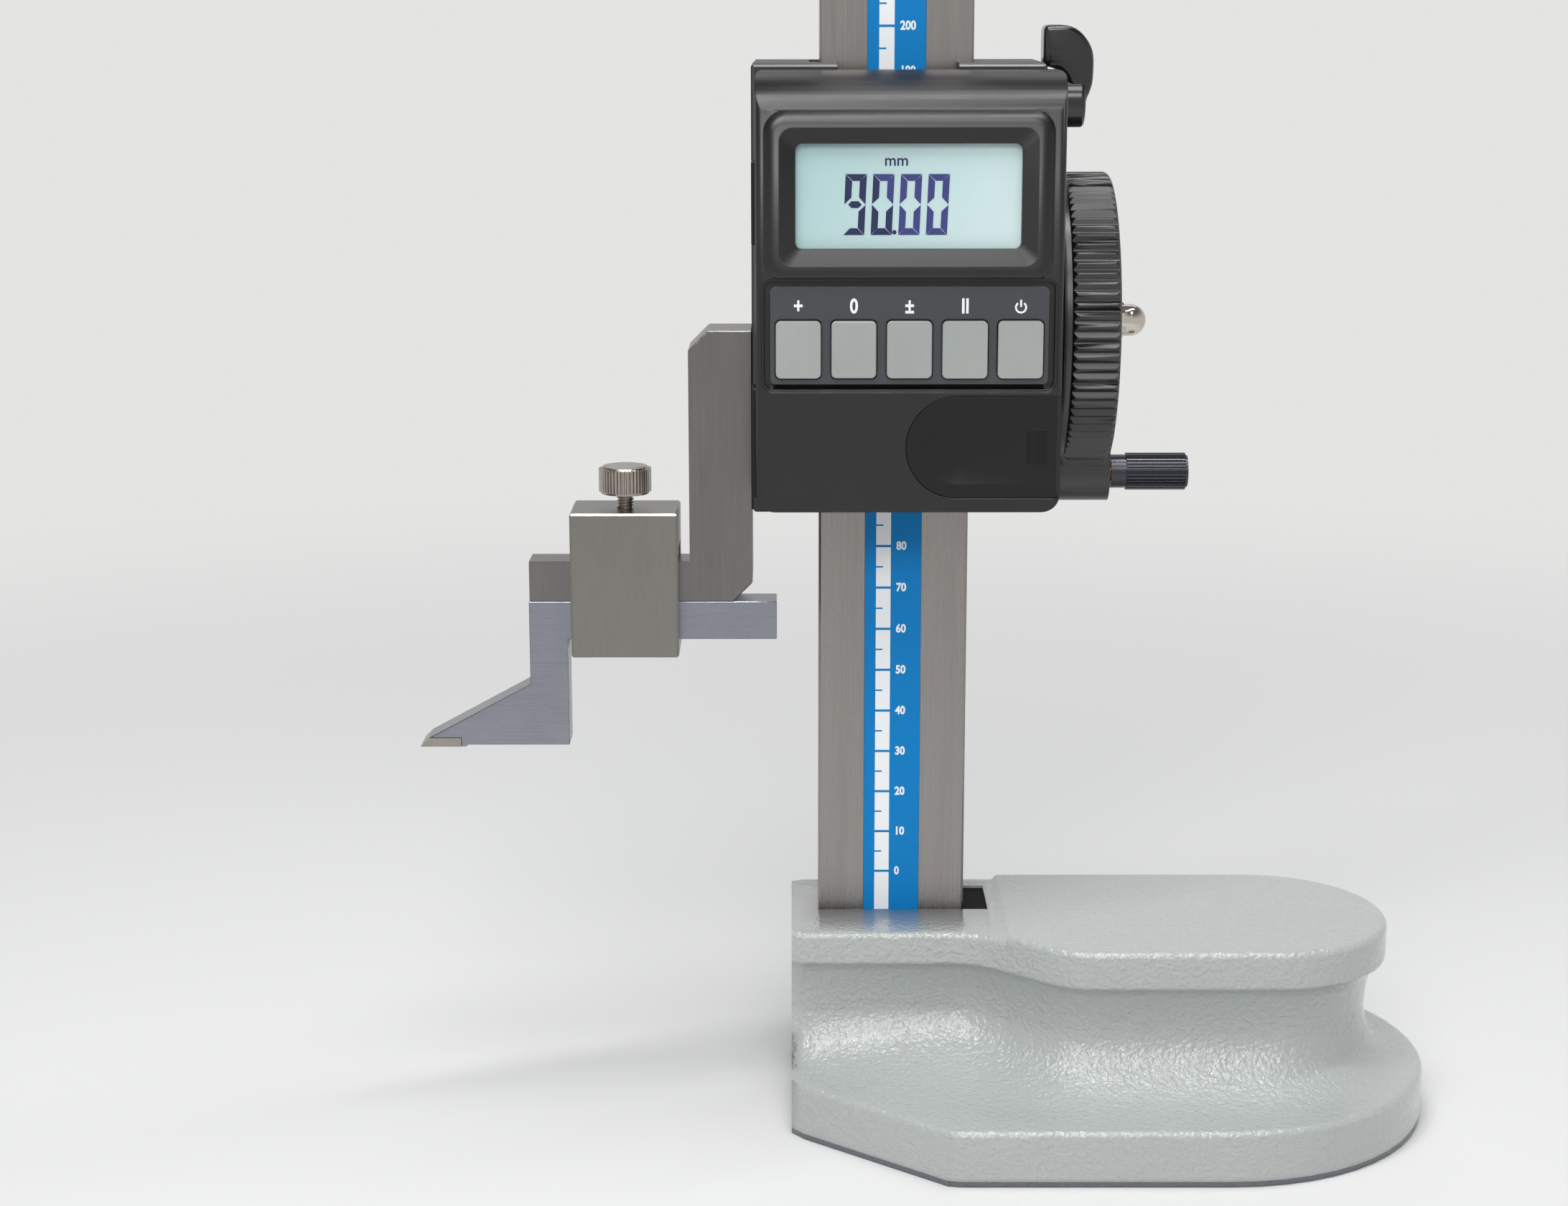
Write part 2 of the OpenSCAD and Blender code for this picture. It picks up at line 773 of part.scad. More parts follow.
// The frame round the window: its section along both ways, and turned at the four corners
module display_frame() {
    translate([disp_x, hou_y0, disp_z])
        rotate([90, 0, 0])
            union() {
                rotate([90, 0, 0])
                    linear_extrude(frame_h - 2 * frame_corner, center = true)
                        frame_section(frame_w);
                rotate([90, 0, 90])
                    linear_extrude(frame_w - 2 * frame_corner, center = true)
                        frame_section(frame_h);
                for (sx = [-1, 1], sz = [-1, 1])
                    translate([sx * (frame_w / 2 - frame_corner), sz * (frame_h / 2 - frame_corner), 0])
                        rotate_extrude()
                            frame_profile();
            }
}
module housing() {
    color("#222224")
        difference() {
            union() {
                difference() {
                    housing_block();
                    housing_hollow();
                }
                display_frame();
                intersection() {
                    at_housing_screws()
                        rod_y(hou_y0 + 1, hou_y1 - plate_t, 3);
                    housing_block();
                }
                at_posts()
                    rod_y(hou_y0 + hou_wall - 0.1, board_y, 1.7);
                front_plate(hou_y0 + 1, board_y)
                    difference() {
                        translate([cover_cx + 1, cover_z])
                            circle(cell_d / 2 + 1.6);
                        translate([cover_cx + 1, cover_z])
                            circle(cell_d / 2 + 0.3);
                    }
            }
            // Window and its sloping surround
            hull()
                translate([disp_x, 0, disp_z]) {
                    front_plate(hou_y0 - frame_up - 0.2, hou_y0 - frame_up)
                        round_rect(win_w + 2 * dish_w, win_h + 2 * dish_w, 3, $fn = 32);
                    front_plate(hou_y0 - 0.2, hou_y0)
                        round_rect(win_w, win_h, 1.6, $fn = 32);
                }
            front_plate(hou_y0 - 3, hou_y0 + 5)
                translate([disp_x, disp_z])
                    round_rect(win_w, win_h, 1.6);
            // Key bay with its stepped edge, and the opening for the keys
            front_plate(hou_y0 - 1, hou_y0 + 0.5)
                translate([hou_cx, bay_z])
                    round_rect(bay_w + 2 * bay_step, bay_h + 2 * bay_step, 2 + bay_step);
            front_plate(hou_y0 - 1, hou_y0 + bay_d)
                translate([hou_cx, bay_z])
                    round_rect(bay_w, bay_h, 2);
            front_plate(hou_y0 - 1, hou_y0 + 6)
                translate([hou_cx, key_z])
                    round_rect(5 * key_pitch - 0.2, key_h + 2.4, 1);
            // Battery cover, its side grooves and the cell's bay
            front_plate(hou_y0 - 1, hou_y0 + cover_t + fit)
                cover_outline(0, hou_x1 + 1);
            front_plate(hou_y0 + 0.8, hou_y0 + cover_t + fit)
                translate([cover_cx, cover_z - cover_h / 2 - lip])
                    square([hou_x1 + 1 - cover_cx, cover_h + 2 * lip]);
            front_plate(hou_y0 - 1, hou_y0 + 6)
                translate([cover_cx + 1, cover_z])
                    circle(cell_d / 2 + 0.3);
            at_housing_screws()
                rod_y(hou_y1 - 7, hou_y1 + 1, 1.3);
            at_posts()
                rod_y(board_y - 2, board_y + 1, 0.7);
            // Seat of the rear plate
            front_plate(hou_y1 - plate_t, hou_y1 + 1)
                translate([hou_cx, (hou_z0 + hou_z1) / 2])
                    round_rect(hou_w - 2.4, hou_h - 2.4, 3);
            // Pockets of the two covers on the left side
            for (z = port_z)
                translate([hou_x0 - 1, hou_y0 + 4, z[0]])
                    cube([2.2, 7, z[1] - z[0]]);
        }
}
port_z = [[hou_z0 + 59.8, hou_z0 + 78.4], [hou_z0 + 2.6, hou_z0 + 27.8]];
module port_covers() {
    color("#18181a")
        for (z = port_z)
            translate([hou_x0 - 0.9 + 1, hou_y0 + 7.5, (z[0] + z[1]) / 2])
                chamfer_box(2, 7 - 2 * fit, z[1] - z[0] - 2 * fit, 0.3);
}
module rear_plate() {
    color("#303133")
        difference() {
            front_plate(hou_y1 - plate_t, hou_y1)
                translate([hou_cx, (hou_z0 + hou_z1) / 2])
                    round_rect(hou_w - 2.4 - 2 * fit, hou_h - 2.4 - 2 * fit, 3);
            at_housing_screws()
                rod_y(hou_y1 - 3, hou_y1 + 1, 1.7);
        }
}
module housing_screws() {
    color("#6f7276")
        at_housing_screws()
            translate([0, 1, 0])
                rotate([90, 0, 0])
                    cap_screw(2.5, 11.5, 2.4);
}
module button_panel() {
    color("#3a3b3e")
        front_plate(panel_y, panel_y + panel_t)
            difference() {
                translate([hou_cx, bay_z])
                    round_rect(bay_w - 2.8, bay_h - 2.4, 1.2);
                for (k = [-2 : 2])
                    translate([hou_cx + k * key_pitch, key_z])
                        round_rect(key_w + 0.6, key_h + 0.6, 1.3);
            }
}
module key(k) {
    color("#9ea3a2")
        translate([hou_cx + k * key_pitch, 0, key_z]) {
            front_plate(hou_y0 - key_up, key_back - flange_t + 0.1)
                round_rect(key_w, key_h, 1.1);
            front_plate(key_back - flange_t, key_back)
                round_rect(key_w + 1.6, key_h + 1.6, 0.8);
        }
}
module key_inc() {
    key(-2);
}
module key_zero() {
    key(-1);
}
module key_tol() {
    key(0);
}
module key_hold() {
    key(1);
}
module key_power() {
    key(2);
}
module switch_domes() {
    color("#c9ccd0")
        for (k = [-2 : 2])
            translate([hou_cx + k * key_pitch, board_y, key_z])
                rotate([90, 0, 0])
                    union() {
                        cylinder(h = 0.3, r = 3);
                        cylinder(h = 0.7, r = 1.8);
                    }
}
module display_window() {
    color("#dfe9e8", 0.4)
        front_plate(hou_y0 + 0.7, hou_y0 + 1.8)
            translate([disp_x, disp_z])
                round_rect(win_w - 2 * fit, win_h - 2 * fit, 1.5);
}
module lcd_panel() {
    color("#b9dad6")
        union() {
            front_plate(hou_y0 + 1.8, hou_y0 + hou_wall + 0.1)
                translate([disp_x, disp_z])
                    round_rect(win_w - 2 * fit, win_h - 2 * fit, 1.5);
            front_plate(hou_y0 + hou_wall, board_y)
                translate([disp_x, disp_z])
                    square([win_w + 4, win_h + 3.4], center = true);
        }
}
module circuit_board() {
    color("#1f5a3a")
        difference() {
            front_plate(board_y, board_y + board_t)
                difference() {
                    translate([hou_cx, (hou_z0 + hou_z1 - 8) / 2 + 1])
                        round_rect(hou_w - 8, hou_h - 15, 2);
                    translate([cover_cx + 1, cover_z])
                        circle(cell_d / 2 + 1.8);
                }
            at_posts()
                rod_y(board_y - 1, board_y + board_t + 1, 1.1);
            at_housing_screws()
                rod_y(board_y - 1, board_y + board_t + 1, 3.4);
        }
}
module board_screws() {
    color("#c3c5c8")
        at_posts()
            translate([0, board_y + board_t, 0])
                rotate([90, 0, 0])
                    union() {
                        translate([0, 0, -1])
                            cylinder(h = 1, r = 1.6);
                        cylinder(h = board_t + 1.6, r = 0.65);
                    }
}
module battery() {
    color("#c8cacd")
        translate([cover_cx + 1, cell_y, cover_z])
            rotate([90, 0, 0])
                cylinder(h = cell_t, d = cell_d);
}
module battery_contacts() {
    color("#cdb36a")
        union() {
            front_plate(cell_y, board_y + board_t + 0.4)
                translate([cover_cx + 1, cover_z])
                    circle(6);
            front_plate(board_y + board_t, board_y + board_t + 0.4)
                translate([cover_cx - 14, cover_z - 2.5])
                    square([30, 5]);
        }
}
module battery_cover() {
    x1 = hou_x1 - 1.2;
    scoop_r = 8.4;
    scoop_d = 1;
    scoop_x1 = x1 - 1.2;
    floor_r = 4.3;
    floor_x1 = scoop_x1 - 8.5;
    rib_n = 8;
    rib_pitch = 0.62;
    rib_w = 0.3;
    rib_l = 7.8;
    color("#1d1d1f")
        difference() {
            union() {
                front_plate(hou_y0, hou_y0 + cover_t)
                    cover_outline(-cover_gap, x1);
                front_plate(hou_y0 + 0.9, hou_y0 + cover_t)
                    translate([cover_cx, cover_z - cover_h / 2 - lip + cover_gap])
                        square([x1 - cover_cx, cover_h + 2 * lip - 2 * cover_gap]);
            }
            // Thumb scoop
            hull() {
                front_plate(hou_y0 - 0.2, hou_y0)
                    translate([cover_cx, cover_z]) {
                        circle(scoop_r, $fn = 32);
                        translate([0, -scoop_r])
                            square([scoop_x1 - cover_cx, 2 * scoop_r]);
                    }
                front_plate(hou_y0, hou_y0 + scoop_d)
                    translate([cover_cx + 1, cover_z]) {
                        circle(floor_r, $fn = 32);
                        translate([0, -floor_r])
                            square([floor_x1 - cover_cx - 1, 2 * floor_r]);
                    }
            }
        }
    color("#1d1d1f")
        for (k = [0 : rib_n - 1]) {
            left_by = rib_pitch * (k + 1.5);
            rib_y = hou_y0 + scoop_d * left_by / (scoop_x1 - floor_x1) - rib_w / 2;
            translate([scoop_x1 - left_by - rib_w / 2, rib_y, cover_z - rib_l / 2])
                cube([rib_w, hou_y0 + cover_t - rib_y, rib_l]);
        }
}
module encoder_carrier() {
    color("#26272a")
        front_plate(-car_front, strip_front - 1.4)
            translate([0, car_z + car_h / 2])
                round_rect(2 * open_x - 1, 60, 2);
}
module encoder_board() {
    color("#1f5a3a")
        front_plate(strip_front - 1.4, strip_front - 0.2)
            translate([0, car_z + car_h / 2])
                round_rect(2 * open_x - 3, 56, 1);
}

// Slider: jaw, clamp and scriber

module measuring_jaw() {
    top = car_z + jaw_up;
    c = jaw_chamfer;
    color("#b3b1ad")
        difference() {
            union() {
                front_plate(-bar / 2, bar / 2)
                    translate([-arm_reach, arm_z])
                        square([arm_reach + leg_x + 1, arm_h]);
                front_plate(-bar / 2, leg_d - bar / 2)
                    polygon([[leg_x, arm_z], [-car_left - c, arm_z], [-car_left, arm_z + c],
                        [-car_left, top], [leg_x + c, top], [leg_x, top - c]]);
            }
            at_jaw_screws() {
                rod_x(leg_x - 1, -car_left + 1, 2.2);
                rod_x(leg_x - 1, leg_x + 4.4, 3.7);
            }
        }
}
module jaw_screws() {
    color("#6f7276")
        at_jaw_screws()
            translate([leg_x + 4.4, 0, 0])
                rotate([0, 90, 0])
                    cap_screw(4, leg_w - 4.4 + 9.5, 4);
}
module clamp_box() {
    open_z0 = bar_z - fit;
    color("#8f8a80")
        difference() {
            translate([clamp_x, 0, clamp_z + clamp_h / 2])
                chamfer_box(clamp_w, clamp_d, clamp_h, 0.5);
            translate([clamp_x - clamp_w, -bar / 2 - fit, open_z0])
                cube([2 * clamp_w, bar + 2 * fit, clamp_open - open_z0]);
            translate([clamp_x, 0, clamp_open - 1])
                cylinder(h = clamp_h, d = thread_d + 2 * fit);
        }
}
module clamp_pad() {
    color("#7c7d80")
        translate([clamp_x - 4, -bar / 2 + 0.2, arm_top + 0.03])
            cube([8, bar - 0.4, pad_h - 0.06]);
}
module thumbscrew() {
    head = 6.3;
    color("#b9b7b2")
        translate([clamp_x, 0, 0])
            union() {
                translate([0, 0, arm_top + pad_h])
                    cylinder(h = clamp_z + clamp_h - arm_top - pad_h, d = thread_d);
                // The core of the thread, between the box and the head
                translate([0, 0, arm_top + pad_h])
                    cylinder(h = thumb_z - arm_top - pad_h + 1, d = thread_d - 0.8);
                translate([0, 0, thumb_z])
                    cylinder(h = 0.5, d = thumb_d - 1);
                translate([0, 0, thumb_z + 0.5])
                    linear_extrude(head - 1)
                        fluted(44, thumb_d / 2, thumb_d / 2 - 0.4);
                translate([0, 0, thumb_z + head - 0.5])
                    cylinder(h = 0.5, d1 = thumb_d - 0.8, d2 = thumb_d - 1.8);
            }
}
tip_x = scr_x0 - point_reach;
module scriber() {
    z0 = scribe_z;
    leg_x1 = scr_x0 + bar;
    pocket_x = tip_x + carbide_l;
    color("#aeb1b6")
        front_plate(-bar / 2, bar / 2)
            polygon([[scr_x0, bar_z + bar], [scr_x0, z0 + 15.2], [tip_x + 2, z0 + 2.1],
                [pocket_x, z0 + 2.1], [pocket_x, z0], [pocket_x + 1.2, z0], [pocket_x + 1.6, z0 + 0.45],
                [leg_x1, z0 + 0.45], [leg_x1, bar_z], [scr_x0 + bar_l, bar_z],
                [scr_x0 + bar_l, bar_z + bar]]);
}
module carbide_tip() {
    z0 = scribe_z;
    color("#8e8c86")
        front_plate(-bar / 2, bar / 2)
            polygon([[tip_x, z0], [tip_x + carbide_l, z0], [tip_x + carbide_l, z0 + 2.1],
                [tip_x + 2, z0 + 2.1], [tip_x + 0.1, z0 + 0.2]]);
}

// Handwheel, pinion shaft and crank

// Involute flank of the pinion: radius r gives the angle turned from the base circle
function inv_angle(r, rb) = let (a = acos(min(1, rb / r))) tan(a) * 180 / PI - a;
module pinion_outline() {
    rb = pitch_r * cos(20);
    half = 90 / pinion_teeth - 0.04 / pitch_r * 180 / PI + inv_angle(pitch_r, rb);
    r0 = max(rb, root_r);
    steps = 5;
    radii = [for (k = [0 : steps]) mix(r0, tip_r, k / steps)];
    union() {
        circle(root_r + eps);
        for (t = [0 : pinion_teeth - 1])
            rotate(t * 360 / pinion_teeth)
                polygon([
                    [root_r * cos(half) * 0.96, -root_r * sin(half)],
                    for (r = radii) let (a = half - inv_angle(r, rb)) [r * cos(a), -r * sin(a)],
                    for (k = [steps : -1 : 0]) let (r = radii[k], a = half - inv_angle(r, rb))
                        [r * cos(a), r * sin(a)],
                    [root_r * cos(half) * 0.96, root_r * sin(half)]
                ]);
    }
}
module pinion_shaft() {
    color("#7f8287")
        at_pinion()
            union() {
                difference() {
                    rod_x(boss_x0 - 2.2, hub_x1, shaft_d / 2);
                    difference() {
                        rod_x(boss_x0 - 1.2, boss_x0 - 0.3, shaft_d);
                        rod_x(boss_x0 - 2, boss_x0, shaft_d / 2 - 0.7);
                    }
                }
                rod_x(hub_x1 - 1, hub_x1 + 6, 2.5);
                // A tooth points at the rack, where a tooth space waits
                translate([-pinion_w / 2, 0, 0])
                    rotate([90, 0, 90])
                        linear_extrude(pinion_w)
                            rotate(180)
                                pinion_outline();
            }
}
module shaft_bushes() {
    color("#b07f3a")
        at_pinion()
            difference() {
                union() {
                    rod_x(boss_x0, -pinion_w / 2 - 1.2, bush_r - fit);
                    rod_x(car_right - 13, car_right + 0.02, bush_r - fit);
                    rod_x(car_right + 0.02, car_right + 1.4, bush_r + 2);
                }
                rod_x(boss_x0 - 1, car_right + 2, shaft_d / 2 + 0.03);
            }
}
module retaining_ring() {
    color("#55585c")
        at_pinion()
            difference() {
                rod_x(boss_x0 - 1.15, boss_x0 - 0.35, shaft_d / 2 + 1.4);
                rod_x(boss_x0 - 2, boss_x0, shaft_d / 2 - 0.65);
                translate([boss_x0 - 2, -1.6, 0])
                    cube([3, 3.2, 10]);
            }
}
module handwheel() {
    color("#1b1b1d")
        at_pinion()
            difference() {
                union() {
                    rod_x(hub_x, hub_x1, 9);
                    rod_x(web_x, web_x + 4, wheel_r - 5);
                    // Rim of sloping ribs, whose crests are rounded down at both ends
                    intersection() {
                        translate([wheel_x, 0, 0])
                            rotate([90, 0, 90])
                                linear_extrude(wheel_w)
                                    fluted(flutes, wheel_r, wheel_r - flute_d, 0.08, 0.06);
                        translate([wheel_x + wheel_w / 2, 0, 0])
                            rotate([0, 90, 0])
                                rotate_extrude()
                                    translate([wheel_r - 3.2, 0])
                                        round_rect(6.4, wheel_w, 1.6);
                    }
                    // Crank lug
                    translate([0, 0, -crank_r])
                        rod_x(wheel_x, hub_x1, lug_r);
                    translate([wheel_x, -lug_r, -crank_r])
                        cube([hub_x1 - wheel_x, 2 * lug_r, 12]);
                }
                rod_x(hub_x - 1, hub_x1 + 1, shaft_d / 2 + 0.02);
                translate([0, 0, -crank_r])
                    rod_x(wheel_x - 1, hub_x1 + 1, pin_d / 2 + 0.02);
            }
}
module wheel_washer() {
    color("#b9bbbe")
        at_pinion()
            difference() {
                rod_x(hub_x1 + 0.02, hub_x1 + 1, 6);
                rod_x(hub_x1 - 1, hub_x1 + 2, 2.6);
            }
}
module acorn_nut() {
    x0 = hub_x1 + 1.02;
    color("#d5d7d9")
        at_pinion()
            difference() {
                union() {
                    translate([x0, 0, 0])
                        rotate([0, 90, 0])
                            cylinder(h = 2, d = 8.4, $fn = 6);
                    rod_x(x0 + 0.2, x0 + 3.6, 3.8);
                    translate([x0 + 3.6, 0, 0])
                        sphere(3.8);
                }
                rod_x(x0 - 1, x0 + 5.2, 2.55);
            }
}
module at_crank() {
    translate([0, pinion_y, pinion_z - crank_r])
        children();
}
module crank_pin() {
    color("#8d9094")
        at_crank()
            rod_x(wheel_x + 1, crank_x + grip_l - 1.6, pin_d / 2);
}
module crank_spacer() {
    color("#c39a4b")
        at_crank()
            difference() {
                rod_x(hub_x1 + 0.02, hub_x1 + spacer_t, 2.4);
                rod_x(hub_x1 - 1, hub_x1 + 2, pin_d / 2 + 0.02);
            }
}
module crank_handle() {
    collar = 3.3;
    color("#1d1d1f")
        at_crank()
            difference() {
                union() {
                    rod_x(crank_x, crank_x + collar, grip_d / 2 - 0.45);
                    rod_x(crank_x + collar, crank_x + grip_l, grip_d / 2 - 0.6);
                    translate([crank_x + collar + 0.4, 0, 0])
                        rotate([90, 0, 90])
                            linear_extrude(grip_l - collar - 0.9)
                                fluted(30, grip_d / 2, grip_d / 2 - 0.35, 0.4, 0.3);
                }
                rod_x(crank_x - 1, crank_x + grip_l - 1.5, pin_d / 2 + 0.05);
            }
}

base_casting();
column();
scale_strip();
rack();
column_bolts();
slot_plug();
top_cap();
cap_screws();
carriage();
gib_strip();
gib_screws();
housing();
rear_plate();
housing_screws();
button_panel();
display_window();
lcd_panel();
circuit_board();
board_screws();
switch_domes();
encoder_carrier();
encoder_board();
battery();
battery_contacts();
port_covers();
measuring_jaw();
jaw_screws();
shaft_bushes();
retaining_ring();
lock_bush();
key_inc();
key_zero();
key_tol();
key_hold();
key_power();
battery_cover();
handwheel();
pinion_shaft();
wheel_washer();
acorn_nut();
crank_pin();
crank_spacer();
crank_handle();
lock_lever();
lock_screw();
lock_pad();
clamp_box();
clamp_pad();
thumbscrew();
scriber();
carbide_tip();
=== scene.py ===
import json
import math

import bpy
from mathutils import Matrix, Vector

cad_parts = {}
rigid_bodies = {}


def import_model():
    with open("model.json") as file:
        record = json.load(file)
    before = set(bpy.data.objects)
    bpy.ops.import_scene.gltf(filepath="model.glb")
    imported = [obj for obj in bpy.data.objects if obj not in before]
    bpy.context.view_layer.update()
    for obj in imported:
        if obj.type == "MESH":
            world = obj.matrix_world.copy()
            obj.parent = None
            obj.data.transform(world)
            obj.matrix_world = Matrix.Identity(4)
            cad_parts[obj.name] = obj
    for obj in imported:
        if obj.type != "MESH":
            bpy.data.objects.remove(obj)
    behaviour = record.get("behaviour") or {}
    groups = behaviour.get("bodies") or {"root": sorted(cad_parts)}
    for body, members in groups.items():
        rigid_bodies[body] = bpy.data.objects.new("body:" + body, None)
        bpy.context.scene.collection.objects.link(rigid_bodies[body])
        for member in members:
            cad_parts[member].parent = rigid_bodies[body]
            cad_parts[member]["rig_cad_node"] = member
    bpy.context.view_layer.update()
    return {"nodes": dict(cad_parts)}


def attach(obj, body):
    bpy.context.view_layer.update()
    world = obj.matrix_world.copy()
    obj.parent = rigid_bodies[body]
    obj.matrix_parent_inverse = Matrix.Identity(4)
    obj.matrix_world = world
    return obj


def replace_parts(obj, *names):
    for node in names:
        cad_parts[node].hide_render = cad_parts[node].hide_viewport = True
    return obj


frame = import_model()
nodes = frame["nodes"]
mm = 0.001
tiny = 0.01 * mm


# Small helpers

def linear(hexText):
    # sRGB hex to the linear colour that Blender's sockets take
    channels = [int(hexText[i:i + 2], 16) / 255 for i in (1, 3, 5)]
    return [c / 12.92 if c <= 0.04045 else ((c + 0.055) / 1.055) ** 2.4 for c in channels] + [1]


def addNode(tree, kind, settings=None, values=None, links=None):
    # One node, its settings, its socket values and the sockets that feed it
    node = tree.nodes.new(kind)
    for name, value in (settings or {}).items():
        setattr(node, name, value)
    for socket, value in (values or {}).items():
        node.inputs[socket].default_value = value
    for socket, source in (links or {}).items():
        tree.links.new(source, node.inputs[socket])
    return node


def newMaterial(name):
    material = bpy.data.materials.new(name)
    material.use_nodes = True
    material.node_tree.nodes.clear()
    return material, material.node_tree


def finishMaterial(tree, shader):
    addNode(tree, "ShaderNodeOutputMaterial", links={"Surface": shader.outputs["BSDF"]})


def mapped(tree, scale=(1, 1, 1), location=(0, 0, 0)):
    coordinates = addNode(tree, "ShaderNodeTexCoord")
    return addNode(tree, "ShaderNodeMapping", values={"Scale": scale, "Location": location},
                   links={"Vector": coordinates.outputs["Object"]}).outputs["Vector"]


def wear(name, material):
    # The finish of a CAD node
    node = nodes[name]
    node.data.materials.clear()
    node.data.materials.append(material)


def twoTone(tree, dark, light, share):
    # Colour that goes from the dark tone to the light one with the share
    return addNode(tree, "ShaderNodeMix", {"data_type": "RGBA"}, {6: linear(dark), 7: linear(light)},
                   {0: share})


def unevenGloss(tree, roughness, share, below=0.04, above=0.06):
    # Roughness that strays a little to both sides of its value
    return addNode(tree, "ShaderNodeMapRange",
                   values={"To Min": roughness - below, "To Max": roughness + above},
                   links={"Value": share})


def roundEdges(tree, radius):
    # Moulded and ground edges catch light: the normal is rounded over a small radius
    return addNode(tree, "ShaderNodeBevel", {"samples": 6}, {"Radius": radius}).outputs["Normal"]


# Materials

def hammerEnamel():
    # Hammer-tone enamel over cast iron, sprayed: a glossy skin drawn up in wrinkles about 1 mm
    # apart that break the light into glints, and a bare ground band along the underside
    enamel = {"colour": "#b3b7b5", "valleyShade": "#a6abaa", "roughness": 0.34, "wrinkle": 1.0 * mm,
              "pebble": 1.7 * mm, "pebbleShare": 0.9, "swell": 11 * mm, "swellShare": 0.8,
              "depth": 0.34 * mm, "coat": 1.0, "coatRoughness": 0.07, "iron": "#6b6e75",
              "ironRoughness": 0.5, "ironMetal": 0.8, "band": 1.2 * mm}
    material, tree = newMaterial("hammertoneEnamel")
    place = mapped(tree)
    wrinkles = addNode(tree, "ShaderNodeTexNoise", values={"Scale": 1 / enamel["wrinkle"], "Detail": 2,
                       "Roughness": 0.55, "Distortion": 0.4}, links={"Vector": place})
    pebbles = addNode(tree, "ShaderNodeTexNoise", values={"Scale": 1 / enamel["pebble"], "Detail": 1,
                      "Distortion": 0.5}, links={"Vector": place})
    swell = addNode(tree, "ShaderNodeTexNoise", values={"Scale": 1 / enamel["swell"], "Detail": 1},
                    links={"Vector": place})
    skin = addNode(tree, "ShaderNodeMath", {"operation": "MULTIPLY_ADD"}, {1: enamel["pebbleShare"]},
                   {0: pebbles.outputs["Fac"], 2: wrinkles.outputs["Fac"]})
    height = addNode(tree, "ShaderNodeMath", {"operation": "MULTIPLY_ADD"}, {1: enamel["swellShare"]},
                     {0: swell.outputs["Fac"], 2: skin.outputs[0]})
    bump = addNode(tree, "ShaderNodeBump", values={"Strength": 1, "Distance": enamel["depth"]},
                   links={"Height": height.outputs[0]})
    # Painted shade: the colour turns to the darker tone where the wrinkles sink in the bump, as shade lying
    # in the valleys
    tone = twoTone(tree, enamel["valleyShade"], enamel["colour"], wrinkles.outputs["Fac"])
    up = addNode(tree, "ShaderNodeSeparateXYZ", links={0: place})
    bare = addNode(tree, "ShaderNodeMath", {"operation": "LESS_THAN"}, {1: enamel["band"]},
                   {0: up.outputs["Z"]})
    colour = addNode(tree, "ShaderNodeMix", {"data_type": "RGBA"}, {7: linear(enamel["iron"])},
                     {0: bare.outputs[0], 6: tone.outputs[2]})
    gloss = addNode(tree, "ShaderNodeMapRange", values={"To Min": enamel["roughness"],
                    "To Max": enamel["ironRoughness"]}, links={"Value": bare.outputs[0]})
    metal = addNode(tree, "ShaderNodeMath", {"operation": "MULTIPLY"}, {1: enamel["ironMetal"]},
                    {0: bare.outputs[0]})
    shader = addNode(tree, "ShaderNodeBsdfPrincipled",
                     values={"Coat Weight": enamel["coat"], "Coat Roughness": enamel["coatRoughness"]},
                     links={"Base Color": colour.outputs[2], "Roughness": gloss.outputs[0],
                            "Metallic": metal.outputs[0], "Normal": bump.outputs[0],
                            "Coat Normal": bump.outputs[0]})
    finishMaterial(tree, shader)
    return material


def groundSteel(name, look):
    # Steel finished on a grinder: parallel lines that stretch along one axis, drawn 0.4 mm wide so
    # that they show, and slow changes of tone from the coolant and the wheel
    grinding = {"cloudShare": 0.8, "darkAt": 0.5, "lightAt": 1.3}
    material, tree = newMaterial(name)
    lines = addNode(tree, "ShaderNodeTexNoise", values={"Scale": 1, "Detail": 3, "Roughness": 0.6},
                    links={"Vector": mapped(tree, look["lines"])})
    clouds = addNode(tree, "ShaderNodeTexNoise", values={"Scale": 1, "Detail": 2},
                     links={"Vector": mapped(tree, look["clouds"])})
    both = addNode(tree, "ShaderNodeMath", {"operation": "MULTIPLY_ADD"}, {1: grinding["cloudShare"]},
                   {0: clouds.outputs["Fac"], 2: lines.outputs["Fac"]})
    ramp = addNode(tree, "ShaderNodeMapRange",
                   values={"From Min": grinding["darkAt"], "From Max": grinding["lightAt"]},
                   links={"Value": both.outputs[0]})
    colour = twoTone(tree, look["dark"], look["colour"], ramp.outputs[0])
    gloss = unevenGloss(tree, look["roughness"], lines.outputs["Fac"])
    bump = addNode(tree, "ShaderNodeBump", values={"Strength": 0.5, "Distance": look["depth"]},
                   links={"Height": lines.outputs["Fac"]})
    if look["edge"]:
        tree.links.new(roundEdges(tree, look["edge"]), bump.inputs["Normal"])
    shader = addNode(tree, "ShaderNodeBsdfPrincipled", values={"Metallic": 1.0},
                     links={"Base Color": colour.outputs[2], "Roughness": gloss.outputs[0],
                            "Normal": bump.outputs[0]})
    finishMaterial(tree, shader)
    return material


